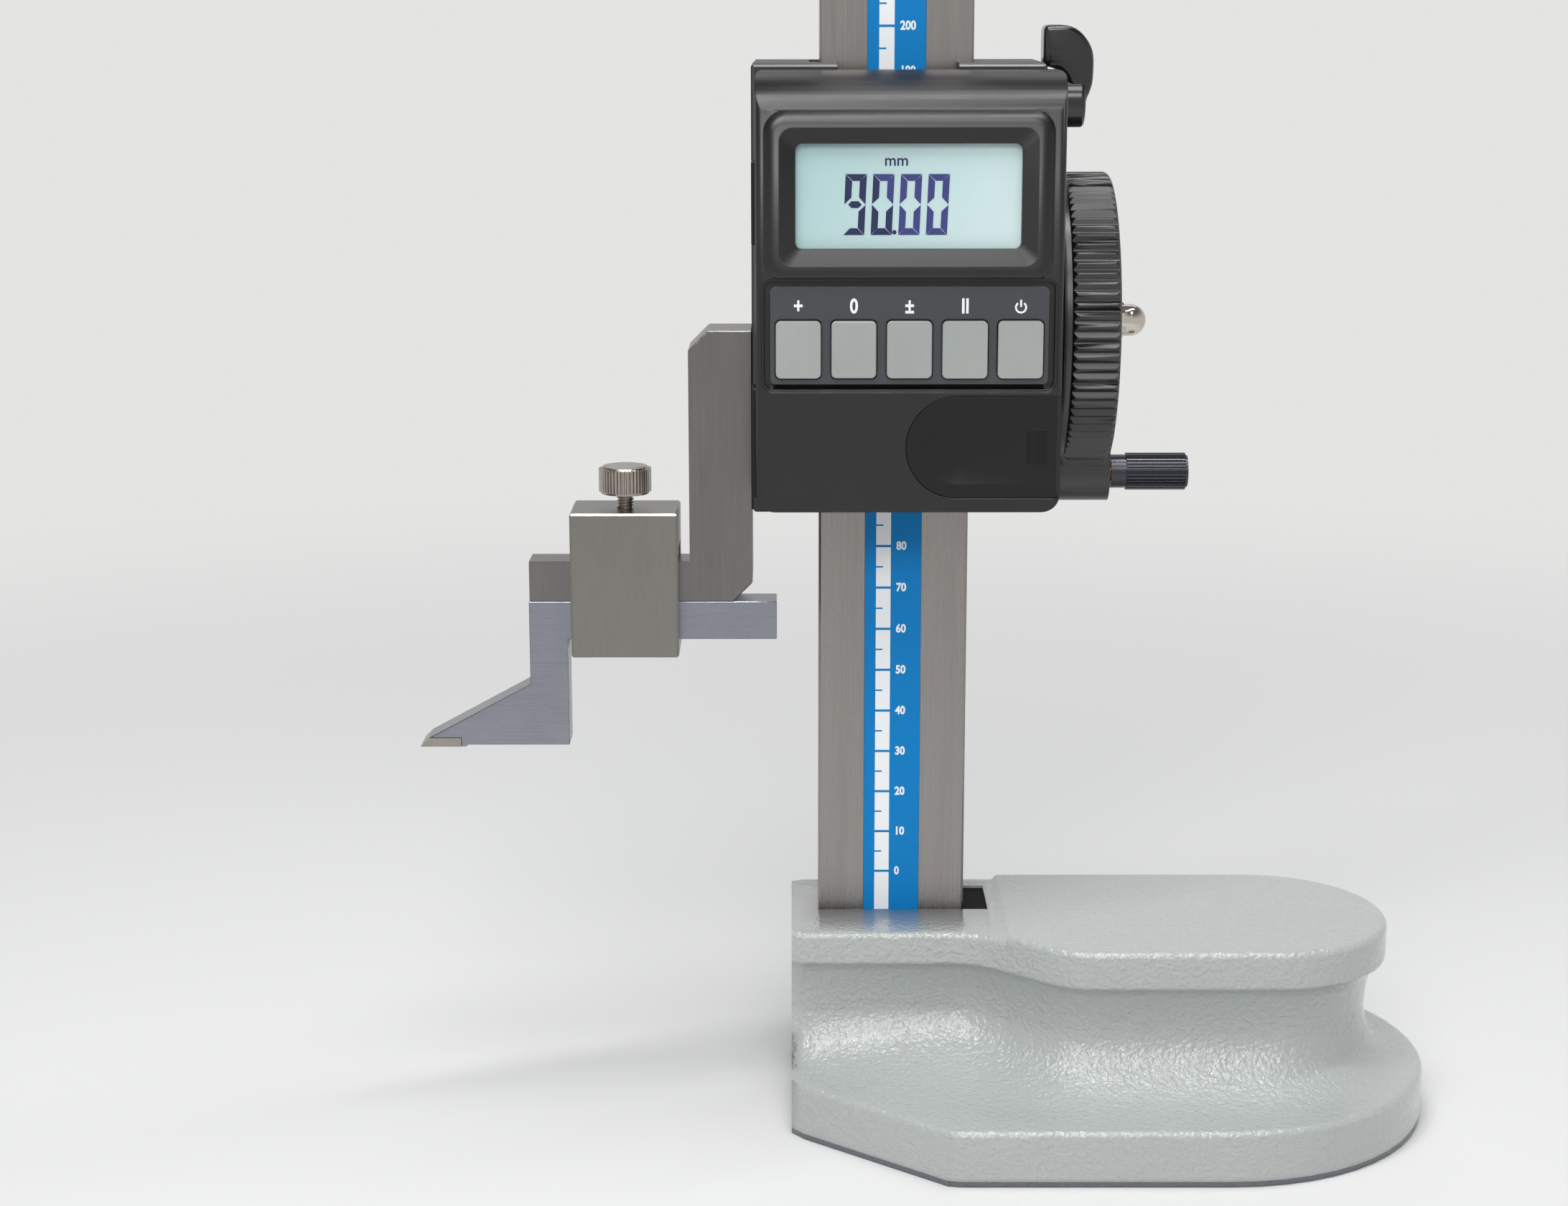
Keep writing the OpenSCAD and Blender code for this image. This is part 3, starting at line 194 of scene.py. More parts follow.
def mouldedPlastic(name, look):
    # Injection-moulded plastic: spark-eroded grain from the tool, faint flow clouds in the gloss
    moulding = {"flowScale": 90, "grainStrength": 0.7, "coatRoughness": 0.15, "glowDepth": 1.5 * mm}
    material, tree = newMaterial(name)
    place = mapped(tree)
    grain = addNode(tree, "ShaderNodeTexNoise", values={"Scale": 1 / look["grain"], "Detail": 2,
                    "Roughness": 0.6}, links={"Vector": place})
    flow = addNode(tree, "ShaderNodeTexNoise", values={"Scale": moulding["flowScale"], "Detail": 2},
                   links={"Vector": place})
    colour = twoTone(tree, look["dark"], look["colour"], flow.outputs["Fac"])
    gloss = unevenGloss(tree, look["roughness"], flow.outputs["Fac"])
    bump = addNode(tree, "ShaderNodeBump",
                   values={"Strength": moulding["grainStrength"], "Distance": look["depth"]},
                   links={"Height": grain.outputs["Fac"]})
    if "crownFrom" in look:
        # Shading only: above this height the front leans back more and more, as if very slightly round
        up = addNode(tree, "ShaderNodeSeparateXYZ", links={0: place})
        above = addNode(tree, "ShaderNodeMath", {"operation": "SUBTRACT"}, {1: look["crownFrom"]},
                        {0: up.outputs["Z"]})
        above = addNode(tree, "ShaderNodeMath", {"operation": "MAXIMUM"}, {1: 0.0}, {0: above.outputs[0]})
        fall = addNode(tree, "ShaderNodeMath", {"operation": "POWER"}, {1: 2.0}, {0: above.outputs[0]})
        setBack = addNode(tree, "ShaderNodeMath", {"operation": "MULTIPLY"}, {1: -look["crownCurve"]},
                          {0: fall.outputs[0]})
        crown = addNode(tree, "ShaderNodeBump", values={"Strength": 1.0, "Distance": 1.0},
                        links={"Height": setBack.outputs[0]})
        tree.links.new(roundEdges(tree, look["edge"]), crown.inputs["Normal"])
        tree.links.new(crown.outputs[0], bump.inputs["Normal"])
    elif look["edge"]:
        tree.links.new(roundEdges(tree, look["edge"]), bump.inputs["Normal"])
    shader = addNode(tree, "ShaderNodeBsdfPrincipled", values={"Coat Weight": look.get("coat", 0.0),
                     "Coat Roughness": moulding["coatRoughness"],
                     "Specular IOR Level": look.get("shine", 0.5),
                     "Subsurface Weight": look.get("glow", 0.0), "Subsurface Scale": moulding["glowDepth"]},
                     links={"Base Color": colour.outputs[2], "Roughness": gloss.outputs[0],
                            "Normal": bump.outputs[0]})
    finishMaterial(tree, shader)
    return material


def plainMetal(name, look):
    # Turned, plated or rolled metal: a smooth skin with faint handling marks in its gloss
    material, tree = newMaterial(name)
    place = mapped(tree)
    marks = addNode(tree, "ShaderNodeTexNoise", values={"Scale": 1 / look["marks"], "Detail": 2},
                    links={"Vector": place})
    colour = twoTone(tree, look["dark"], look["colour"], marks.outputs["Fac"])
    gloss = unevenGloss(tree, look["roughness"], marks.outputs["Fac"], below=0.03, above=0.05)
    shader = addNode(tree, "ShaderNodeBsdfPrincipled", values={"Metallic": 1.0},
                     links={"Base Color": colour.outputs[2], "Roughness": gloss.outputs[0]})
    if look["edge"]:
        tree.links.new(roundEdges(tree, look["edge"]), shader.inputs["Normal"])
    finishMaterial(tree, shader)
    return material


def blackenedCasting():
    # Blackened iron casting whose front corners were ground bare afterwards: they slant and are bright
    casting = {"colour": "#2c2d30", "dark": "#1f2022", "bare": "#5f5e5c", "roughness": 0.42,
               "bareRoughness": 0.36, "slantBelow": 0.8, "bareFront": -4.6 * mm, "sand": 0.6 * mm,
               "depth": 0.01 * mm, "edge": 0.15 * mm}
    material, tree = newMaterial("blackenedIron")
    place = mapped(tree)
    sand = addNode(tree, "ShaderNodeTexNoise", values={"Scale": 1 / casting["sand"], "Detail": 3},
                   links={"Vector": place})
    skin = twoTone(tree, casting["dark"], casting["colour"], sand.outputs["Fac"])
    shape = addNode(tree, "ShaderNodeNewGeometry")
    facing = addNode(tree, "ShaderNodeVectorMath", {"operation": "ABSOLUTE"},
                     links={0: shape.outputs["True Normal"]})
    axes = addNode(tree, "ShaderNodeSeparateXYZ", links={0: facing.outputs[0]})
    widest = addNode(tree, "ShaderNodeMath", {"operation": "MAXIMUM"},
                     links={0: axes.outputs["X"], 1: axes.outputs["Y"]})
    widest = addNode(tree, "ShaderNodeMath", {"operation": "MAXIMUM"},
                     links={0: widest.outputs[0], 1: axes.outputs["Z"]})
    slanting = addNode(tree, "ShaderNodeMath", {"operation": "LESS_THAN"},
                       {1: casting["slantBelow"]}, {0: widest.outputs[0]})
    depth = addNode(tree, "ShaderNodeSeparateXYZ", links={0: place})
    front = addNode(tree, "ShaderNodeMath", {"operation": "LESS_THAN"}, {1: casting["bareFront"]},
                    {0: depth.outputs["Y"]})
    bare = addNode(tree, "ShaderNodeMath", {"operation": "MULTIPLY"},
                   links={0: slanting.outputs[0], 1: front.outputs[0]})
    colour = addNode(tree, "ShaderNodeMix", {"data_type": "RGBA"}, {7: linear(casting["bare"])},
                     {0: bare.outputs[0], 6: skin.outputs[2]})
    gloss = addNode(tree, "ShaderNodeMapRange", values={"To Min": casting["roughness"],
                    "To Max": casting["bareRoughness"]}, links={"Value": bare.outputs[0]})
    bump = addNode(tree, "ShaderNodeBump", values={"Strength": 0.5, "Distance": casting["depth"]},
                   links={"Height": sand.outputs["Fac"], "Normal": roundEdges(tree, casting["edge"])})
    shader = addNode(tree, "ShaderNodeBsdfPrincipled",
                     links={"Base Color": colour.outputs[2], "Roughness": gloss.outputs[0],
                            "Metallic": bare.outputs[0], "Normal": bump.outputs[0]})
    finishMaterial(tree, shader)
    return material


def printedInk(name, look):
    # Screen-printed ink: an even film with a trace of the mesh it was pressed through
    meshSize = 0.3 * mm
    material, tree = newMaterial(name)
    screen = addNode(tree, "ShaderNodeTexNoise", values={"Scale": 1 / meshSize, "Detail": 1},
                     links={"Vector": mapped(tree)})
    colour = twoTone(tree, look["dark"], look["colour"], screen.outputs["Fac"])
    shader = addNode(tree, "ShaderNodeBsdfPrincipled", values={"Roughness": look["roughness"],
                     "Specular IOR Level": look["shine"]}, links={"Base Color": colour.outputs[2]})
    finishMaterial(tree, shader)
    return material


def displayGlass():
    # Liquid crystal cell over a reflector: pale green, with painted light that makes it brighter towards its
    # lower right corner
    cell = {"dull": "#a1c8c9", "bright": "#dbecec", "from": -150 * mm, "to": -60 * mm,
            "cloudScale": 160, "cloudShare": 0.01, "slant": -0.5, "roughness": 0.4}
    material, tree = newMaterial("liquidCrystalCell")
    place = mapped(tree)
    axes = addNode(tree, "ShaderNodeSeparateXYZ", links={0: place})
    cloud = addNode(tree, "ShaderNodeTexNoise", values={"Scale": cell["cloudScale"], "Detail": 2},
                    links={"Vector": place})
    drift = addNode(tree, "ShaderNodeMath", {"operation": "MULTIPLY_ADD"}, {1: cell["cloudShare"]},
                    {0: cloud.outputs["Fac"], 2: axes.outputs["X"]})
    slant = addNode(tree, "ShaderNodeMath", {"operation": "MULTIPLY_ADD"}, {1: cell["slant"]},
                    {0: axes.outputs["Z"], 2: drift.outputs[0]})
    # Painted light: the tone rises from the dull colour to the bright one towards the lower right corner, a
    # pool of light painted on the cell
    share = addNode(tree, "ShaderNodeMapRange", values={"From Min": cell["from"], "From Max": cell["to"]},
                    links={"Value": slant.outputs[0]})
    colour = twoTone(tree, cell["dull"], cell["bright"], share.outputs[0])
    shader = addNode(tree, "ShaderNodeBsdfPrincipled", values={"Roughness": cell["roughness"]},
                     links={"Base Color": colour.outputs[2]})
    finishMaterial(tree, shader)
    return material


def clearWindow():
    # Cast acrylic, polished: nearly invisible, with a weak reflection
    window = {"colour": "#f2fbfa", "alpha": 0.04, "ior": 1.49, "clean": 0.03, "smeared": 0.12,
              "smearScale": 160}
    material, tree = newMaterial("castAcrylic")
    smear = addNode(tree, "ShaderNodeTexNoise", values={"Scale": window["smearScale"], "Detail": 3},
                    links={"Vector": mapped(tree)})
    gloss = addNode(tree, "ShaderNodeMapRange",
                    values={"To Min": window["clean"], "To Max": window["smeared"]},
                    links={"Value": smear.outputs["Fac"]})
    shader = addNode(tree, "ShaderNodeBsdfPrincipled", values={"Base Color": linear(window["colour"]),
                     "Alpha": window["alpha"], "IOR": window["ior"]},
                     links={"Roughness": gloss.outputs[0]})
    finishMaterial(tree, shader)
    return material


enamel = hammerEnamel()
columnSteel = groundSteel("groundStainlessSteel", {"colour": "#989491", "dark": "#8d8986", "roughness": 0.26,
    "lines": (2400, 2400, 45), "clouds": (420, 420, 11), "depth": 0.002 * mm, "edge": 0.25 * mm})
jawSteel = groundSteel("surfaceGroundToolSteel", {"colour": "#9597a1", "dark": "#898b95", "roughness": 0.27,
    "lines": (60, 60, 2400), "clouds": (120, 120, 120), "depth": 0.003 * mm, "edge": 0})
legSteel = groundSteel("uprightGroundToolSteel", {"colour": "#827f7e", "dark": "#757371", "roughness": 0.28,
    "lines": (2200, 2200, 50), "clouds": (110, 110, 45), "depth": 0.003 * mm, "edge": 0})
clampSteel = groundSteel("milledBrightSteel", {"colour": "#8d8a86", "dark": "#84817c", "roughness": 0.3,
    "lines": (1900, 1900, 160), "clouds": (130, 130, 60), "depth": 0.002 * mm, "edge": 0})
rackSteel = groundSteel("hobbedSteel", {"colour": "#8e8f92", "dark": "#707275", "roughness": 0.32,
    "lines": (2400, 120, 120), "clouds": (150, 150, 150), "depth": 0.004 * mm, "edge": 0})
carbideGrey = groundSteel("lappedTungstenCarbide", {"colour": "#a5a19b", "dark": "#96928c", "roughness": 0.28,
    "lines": (2000, 2000, 2000), "clouds": (300, 300, 300), "depth": 0.001 * mm, "edge": 0})
knurledSteel = plainMetal("turnedStainlessSteel", {"colour": "#b9b2a9", "dark": "#a39d95", "roughness": 0.28,
    "marks": 2.5 * mm, "edge": 0})
chrome = plainMetal("chromePlate", {"colour": "#d2d1cf", "dark": "#c4c3c1", "roughness": 0.08,
    "marks": 3 * mm, "edge": 0})
nickel = plainMetal("brightNickelPlate", {"colour": "#d2c9c0", "dark": "#c5bcb3", "roughness": 0.09,
    "marks": 3 * mm, "edge": 0})
brass = plainMetal("turnedBrass", {"colour": "#d0a75a", "dark": "#b58c45", "roughness": 0.22,
    "marks": 1.5 * mm, "edge": 0})
bronze = plainMetal("sinteredBronze", {"colour": "#b8874a", "dark": "#94693a", "roughness": 0.45,
    "marks": 0.4 * mm, "edge": 0})
blackScrew = plainMetal("phosphatedSteel", {"colour": "#414246", "dark": "#303135", "roughness": 0.42,
    "marks": 0.8 * mm, "edge": 0.1 * mm})
zincSteel = plainMetal("zincPlatedSteel", {"colour": "#b4b6b8", "dark": "#9b9da0", "roughness": 0.3,
    "marks": 1.2 * mm, "edge": 0.1 * mm})
casting = blackenedCasting()
housingPlastic = mouldedPlastic("mouldedAbs", {"colour": "#0f0f11", "dark": "#0b0b0d", "roughness": 0.34,
    "grain": 0.35 * mm, "depth": 0.008 * mm, "edge": 0.4 * mm, "shine": 0.58,
    "crownFrom": 192 * mm, "crownCurve": 4.3})
coverPlastic = mouldedPlastic("mouldedAbsCover", {"colour": "#0e0e10", "dark": "#0a0a0c", "roughness": 0.4,
    "grain": 0.35 * mm, "depth": 0.008 * mm, "edge": 0.2 * mm, "shine": 0.36})
panelPlastic = mouldedPlastic("screenPrintedPanel", {"colour": "#3e3f44", "dark": "#393a3f",
    "roughness": 0.36, "grain": 0.5 * mm, "depth": 0.004 * mm, "edge": 0.25 * mm, "shine": 0.6})
keyPlastic = mouldedPlastic("mouldedKeycap", {"colour": "#a5a9a6", "dark": "#9ca09d", "roughness": 0.34,
    "grain": 0.6 * mm, "depth": 0.003 * mm, "edge": 0, "glow": 0.15})
wheelPlastic = mouldedPlastic("glassFilledNylon", {"colour": "#0e0e10", "dark": "#0a0a0c", "roughness": 0.33,
    "grain": 0.5 * mm, "depth": 0.002 * mm, "edge": 0.3 * mm, "shine": 0.9})
gripMetal = plainMetal("blackAnodisedAluminium", {"colour": "#505156", "dark": "#434449", "roughness": 0.27,
    "marks": 1.2 * mm, "edge": 0})
leverPlastic = mouldedPlastic("glossyPhenolic", {"colour": "#0d0d0f", "dark": "#09090b", "roughness": 0.2,
    "grain": 0.9 * mm, "depth": 0.002 * mm, "edge": 0, "coat": 0.5})
plugRubber = mouldedPlastic("mouldedRubber", {"colour": "#0b0b0c", "dark": "#070708", "roughness": 0.7,
    "grain": 0.3 * mm, "depth": 0.004 * mm, "edge": 0.2 * mm, "shine": 0.2})
capEnamel = mouldedPlastic("satinBlackEnamel", {"colour": "#1f2022", "dark": "#191a1c", "roughness": 0.38,
    "grain": 0.6 * mm, "depth": 0.005 * mm, "edge": 0.3 * mm})
boardResin = mouldedPlastic("solderMaskedBoard", {"colour": "#1f6a42", "dark": "#19553a", "roughness": 0.35,
    "grain": 0.4 * mm, "depth": 0.003 * mm, "edge": 0.1 * mm})
scaleBlue = printedInk("printedScaleBlue", {"colour": "#0583c9", "dark": "#047abf", "roughness": 0.5,
    "shine": 0.2})
inkWhite = printedInk("printedWhite", {"colour": "#f6f8fa", "dark": "#eff2f4", "roughness": 0.5,
    "shine": 0.3})
inkNavy = printedInk("darkSegments", {"colour": "#0a1350", "dark": "#080f46", "roughness": 0.6,
    "shine": 0.1})
# Painted glare: a paler copy of the segment ink, for the figures on the right where the display is more
# brightly lit
inkGlarePale = printedInk("paleSegments", {"colour": "#34377f", "dark": "#2e3076", "roughness": 0.6,
    "shine": 0.1})
cellGlass = displayGlass()
windowAcrylic = clearWindow()

finishes = {
    "base_casting": enamel, "column": columnSteel, "scale_strip": scaleBlue, "rack": rackSteel,
    "column_bolts": blackScrew, "slot_plug": plugRubber, "top_cap": capEnamel, "cap_screws": blackScrew,
    "carriage": casting, "gib_strip": bronze, "gib_screws": blackScrew, "housing": housingPlastic,
    "rear_plate": capEnamel, "housing_screws": blackScrew, "button_panel": panelPlastic,
    "display_window": windowAcrylic, "lcd_panel": cellGlass, "circuit_board": boardResin,
    "board_screws": zincSteel, "switch_domes": zincSteel, "encoder_carrier": coverPlastic,
    "encoder_board": boardResin, "battery": chrome, "battery_contacts": brass,
    "port_covers": coverPlastic, "measuring_jaw": legSteel, "jaw_screws": blackScrew,
    "shaft_bushes": bronze, "retaining_ring": blackScrew, "lock_bush": blackScrew,
    "key_inc": keyPlastic, "key_zero": keyPlastic, "key_tol": keyPlastic, "key_hold": keyPlastic,
    "key_power": keyPlastic, "battery_cover": coverPlastic, "handwheel": wheelPlastic,
    "pinion_shaft": rackSteel, "wheel_washer": zincSteel, "acorn_nut": nickel, "crank_pin": rackSteel,
    "crank_spacer": brass, "crank_handle": gripMetal, "lock_lever": leverPlastic,
    "lock_screw": blackScrew, "lock_pad": brass, "clamp_box": clampSteel, "clamp_pad": rackSteel,
    "thumbscrew": knurledSteel, "scriber": jawSteel, "carbide_tip": carbideGrey,
}
for nodeName, finish in finishes.items():
    wear(nodeName, finish)
print("finishes on", len(finishes), "nodes")


# Modelling helpers

def startPiece():
    if bpy.context.mode != "OBJECT":
        bpy.ops.object.mode_set(mode="OBJECT")
    bpy.ops.object.select_all(action="DESELECT")


def applyPlace():
    bpy.ops.object.transform_apply(location=True, rotation=True, scale=True)


def openMesh():
    bpy.ops.object.mode_set(mode="EDIT")
    bpy.ops.mesh.select_all(action="SELECT")


def extrudeBy(x, y, z):
    bpy.ops.mesh.extrude_region_move(TRANSFORM_OT_translate={"value": (x, y, z)})


def closeMesh():
    # All normals outwards, and back to object mode
    bpy.ops.mesh.select_all(action="SELECT")
    bpy.ops.mesh.normals_make_consistent(inside=False)
    bpy.ops.object.mode_set(mode="OBJECT")


def startDisc(points, radius, place, turn):
    # A filled outline to model from, with its place and turn in its mesh
    startPiece()
    bpy.ops.mesh.primitive_circle_add(vertices=points, radius=radius, fill_type="NGON", location=place,
                                      rotation=turn)
    applyPlace()
    return bpy.context.object


def keepPiece(name, body, material):
    # The new piece gets its name, its place in its mesh, its finish and its body
    piece = bpy.context.object
    applyPlace()
    piece.name = name
    piece.data.name = name
    piece.data.materials.clear()
    piece.data.materials.append(material)
    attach(piece, body)
    return piece


def joinPieces(parts):
    startPiece()
    for part in parts:
        part.select_set(True)
    bpy.context.view_layer.objects.active = parts[0]
    bpy.ops.object.join()
    return bpy.context.object


def printFilm(x0, x1, z0, z1, y, thickness=0.03 * mm):
    # A rectangle of printed film that faces the front, given a thickness by extruding it
    startPiece()
    bpy.ops.mesh.primitive_plane_add(size=1, location=((x0 + x1) / 2, y, (z0 + z1) / 2),
                                     rotation=(math.pi / 2, 0, 0))
    film = bpy.context.object
    film.scale = (x1 - x0, z1 - z0, 1)
    applyPlace()
    openMesh()
    extrudeBy(0, -thickness, 0)
    closeMesh()
    return film


def repeatUp(film, step, count):
    # Copies up the column
    startPiece()
    film.select_set(True)
    bpy.context.view_layer.objects.active = film
    bpy.ops.object.modifier_add(type="ARRAY")
    array = film.modifiers[-1]
    array.use_relative_offset = False
    array.use_constant_offset = True
    array.constant_offset_displace = (0, 0, step)
    array.count = count
    bpy.ops.object.modifier_apply(modifier=array.name)


def printText(text, size, x, z, y, bold=0.0, wide=1.0, align="CENTER"):
    # Lettering that faces the front; z is its middle
    startPiece()
    bpy.ops.object.text_add(location=(x, y, z), rotation=(math.pi / 2, 0, 0))
    words = bpy.context.object
    words.data.body = text
    words.data.size = size
    words.data.align_x = align
    words.data.align_y = "CENTER"
    words.data.offset = bold
    words.data.extrude = 0.01 * mm
    words.data.resolution_u = 3
    words.scale = (wide, 1, 1)
    bpy.ops.object.convert(target="MESH")
    applyPlace()
    return bpy.context.object


# Merged copies of the CAD pieces that have round faces or show their edges: round faces are
# shaded smooth, and ground or moulded edges get the small bevel that they have on a bench. Angles
# are in degrees and bevels in millimetres

dressRules = {"weld": 0.002 * mm, "merge": 0.3, "corner": 40, "flatWeight": 100}
dressing = {
    "base_casting": {"body": "base", "slot": "hammer_paint", "smooth": 42},
    "carriage": {"body": "slider", "slot": "carriage_iron", "smooth": 25},
    "housing": {"body": "slider", "slot": "housing_plastic", "smooth": 24, "merge": 0.06},
    "button_panel": {"body": "slider", "slot": "panel_film", "smooth": 35, "bevel": 0.4, "segments": 3},
    "measuring_jaw": {"body": "slider", "slot": "tool_steel", "smooth": 25, "bevel": 0.2, "segments": 1},
    "battery_cover": {"body": "cell_cover", "slot": "cover_plastic", "smooth": 30},
    "handwheel": {"body": "wheel", "slot": "wheel_plastic", "smooth": 8, "flats": False},
    "acorn_nut": {"body": "wheel", "slot": "chrome_nut", "smooth": 30},
    "crank_handle": {"body": "crank_grip", "slot": "grip_plastic", "smooth": 8, "flats": False},
    "clamp_box": {"body": "clamp", "slot": "clamp_steel", "smooth": 20},
    "thumbscrew": {"body": "thumb", "slot": "screw_steel", "smooth": 8, "flats": False},
    "scriber": {"body": "scriber_arm", "slot": "tool_steel", "smooth": 20, "bevel": 0.18, "segments": 1},
    "key_inc": {"body": "button_inc", "slot": "key_plastic", "smooth": 50, "bevel": 0.8, "segments": 4},
    "key_zero": {"body": "button_zero", "slot": "key_plastic", "smooth": 50, "bevel": 0.8, "segments": 4},
    "key_tol": {"body": "button_tol", "slot": "key_plastic", "smooth": 50, "bevel": 0.8, "segments": 4},
    "key_hold": {"body": "button_hold", "slot": "key_plastic", "smooth": 50, "bevel": 0.8, "segments": 4},
    "key_power": {"body": "button_power", "slot": "key_plastic", "smooth": 50, "bevel": 0.8, "segments": 4},
}


flange = {"x": 40.4 * mm, "thick": 2.9 * mm, "radius": 34.0 * mm, "hole": 8.5 * mm, "round": 1.6 * mm,
          "y": 30.03 * mm, "z": 186.6 * mm, "lug": 7.0 * mm, "lugZ": 149.8 * mm, "lugTall": 11 * mm,
          "lugRound": 1.0 * mm}


def addFlange(wheel):
    # Smooth black flange behind the ribs of the wheel, with the crank's lug carried across it
    f = flange
    # Edges marked outside edit mode stay marked in it only if edges are what is selected there
    bpy.ops.object.mode_set(mode="EDIT")
    bpy.ops.mesh.select_mode(type="EDGE")
    disc = startDisc(96, f["radius"], (f["x"], f["y"], f["z"]), (0, -math.pi / 2, 0))
    openMesh()
    bpy.ops.mesh.inset(thickness=f["radius"] - f["hole"])
    bpy.ops.mesh.delete(type="FACE")
    bpy.ops.mesh.select_all(action="SELECT")
    extrudeBy(-f["thick"], 0, 0)
    bpy.ops.mesh.select_all(action="DESELECT")
    bpy.ops.object.mode_set(mode="OBJECT")
    for edge in disc.data.edges:
        a, b = [disc.data.vertices[i].co for i in edge.vertices]
        edge.select = all(abs(p.x - f["x"] + f["thick"]) < tiny
                          and math.hypot(p.y - f["y"], p.z - f["z"]) > f["radius"] - mm for p in (a, b))
    bpy.ops.object.mode_set(mode="EDIT")
    bpy.ops.mesh.bevel(offset=f["round"], segments=4, affect="EDGES")
    closeMesh()
    lug = startDisc(48, f["lug"], (f["x"], f["y"], f["lugZ"]), (0, -math.pi / 2, 0))
    for v in lug.data.vertices:
        if v.co.z > f["lugZ"] + tiny:
            v.co.z = f["lugZ"] + f["lugTall"]
    openMesh()
    extrudeBy(-f["thick"], 0, 0)
    bpy.ops.mesh.select_all(action="DESELECT")
    bpy.ops.object.mode_set(mode="OBJECT")
    for edge in lug.data.edges:
        edge.select = all(abs(lug.data.vertices[i].co.x - f["x"] + f["thick"]) < tiny
                          for i in edge.vertices)
    bpy.ops.object.mode_set(mode="EDIT")
    bpy.ops.mesh.bevel(offset=f["lugRound"], segments=4, affect="EDGES")
    bpy.ops.mesh.select_mode(type="VERT")
    closeMesh()
    return joinPieces([wheel, disc, lug])


def markOutwardEdges(copy):
    # Only corners that point outwards are broken: an inner corner stays as the cutter left it
    faces = {}
    for face in copy.data.polygons:
        for key in face.edge_keys:
            faces.setdefault(key, []).append(face)
    weights = copy.data.attributes.new("bevel_weight_edge", "FLOAT", "EDGE")
    for edge in copy.data.edges:
        pair = faces.get(edge.key, [])
        if len(pair) == 2 and pair[0].normal.angle(pair[1].normal) > math.radians(dressRules["corner"]):
            between = pair[1].center - pair[0].center
            if between.dot(pair[0].normal) < 0 or between.dot(pair[1].normal) > 0:
                weights.data[edge.index].value = 1.0


def dressCopy(name, look):
    startPiece()
    nodes[name].select_set(True)
    bpy.context.view_layer.objects.active = nodes[name]
    bpy.ops.object.duplicate()
    copy = bpy.context.object
    del copy["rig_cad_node"]
    bpy.ops.object.parent_clear(type="CLEAR_KEEP_TRANSFORM")
    openMesh()
    bpy.ops.mesh.remove_doubles(threshold=dressRules["weld"])
    bpy.ops.mesh.dissolve_limited(angle_limit=math.radians(look.get("merge", dressRules["merge"])))
    bpy.ops.object.mode_set(mode="OBJECT")
    if name == "handwheel":
        copy = addFlange(copy)
    if "bevel" in look:
        bpy.ops.object.modifier_add(type="BEVEL")
        edge = copy.modifiers[-1]
        edge.width = look["bevel"] * mm
        edge.segments = look["segments"]
        edge.limit_method = "WEIGHT"
        markOutwardEdges(copy)
        bpy.ops.object.modifier_apply(modifier=edge.name)
    bpy.ops.object.shade_smooth_by_angle(angle=math.radians(look["smooth"]))
    if look.get("flats", True):
        # Flat faces keep their own normal where they run into a round edge
        bpy.ops.object.modifier_add(type="WEIGHTED_NORMAL")
        flats = copy.modifiers[-1]
        flats.weight = dressRules["flatWeight"]
        flats.keep_sharp = True
        bpy.ops.object.modifier_apply(modifier=flats.name)
    keepPiece(name + "_finished", look["body"], finishes[name])
    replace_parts(copy, name)


for nodeName, look in dressing.items():
    dressCopy(nodeName, look)
print("dressed", len(dressing), "pieces")


# Lock lever: a fat round-edged thumb piece on a hub, with ribs for the thumb. The outline goes
# round from the top left corner, in millimetres to the right and up

leverLook = {
    "front": 10.0 * mm, "thick": 9.0 * mm, "round": 1.3 * mm, "hub": 6.0 * mm, "hole": 2.1 * mm,
    "hubY": 14.5 * mm, "hubZ": 239.0 * mm, "hubFrom": 33.7 * mm, "hubTo": 43.5 * mm, "cap": 1.1 * mm,
    "capRound": 0.9 * mm, "ribs": [(247.3, 41.6), (248.5, 41.0), (249.7, 39.4), (250.9, 38.6)],
    "ribFrom": 35.2, "ribTall": 0.32, "ribRoot": 0.1 * mm, "ribDeep": 0.35 * mm,
    "outline": [(33.7, 254.8), (33.9, 255.7), (34.5, 256.2), (35.4, 256.3), (38.6, 256.3),
                (40.6, 255.8), (42.5, 254.5), (43.9, 252.8), (44.9, 250.9), (45.3, 248.9),
                (45.3, 246.3), (45.2, 243.6), (44.7, 241.6), (43.9, 239.8), (43.4, 237.6),
                (41.6, 237.2), (40.3, 238.6), (39.8, 241.2), (39.2, 243.6), (38.0, 245.5),
                (36.4, 246.5), (34.7, 246.9), (33.9, 247.4), (33.7, 248.4)]}
outline = leverLook["outline"]
outline = [(a[0] * near + b[0] * (1 - near), a[1] * near + b[1] * (1 - near))
           for a, b in zip(outline, outline[1:] + outline[:1]) for near in (0.75, 0.25)]
thumbPiece = startDisc(len(outline), mm, (0, 0, 0), (math.pi / 2, 0, 0))
for v, (x, z) in zip(thumbPiece.data.vertices, outline):
    v.co = (x * mm, leverLook["front"], z * mm)
openMesh()
extrudeBy(0, leverLook["thick"], 0)
closeMesh()
bpy.ops.object.modifier_add(type="BEVEL")
rounding = thumbPiece.modifiers[-1]
rounding.width = leverLook["round"]
rounding.segments = 5
rounding.limit_method = "ANGLE"
rounding.angle_limit = math.radians(60)
rounding.use_clamp_overlap = False
bpy.ops.object.modifier_apply(modifier=rounding.name)


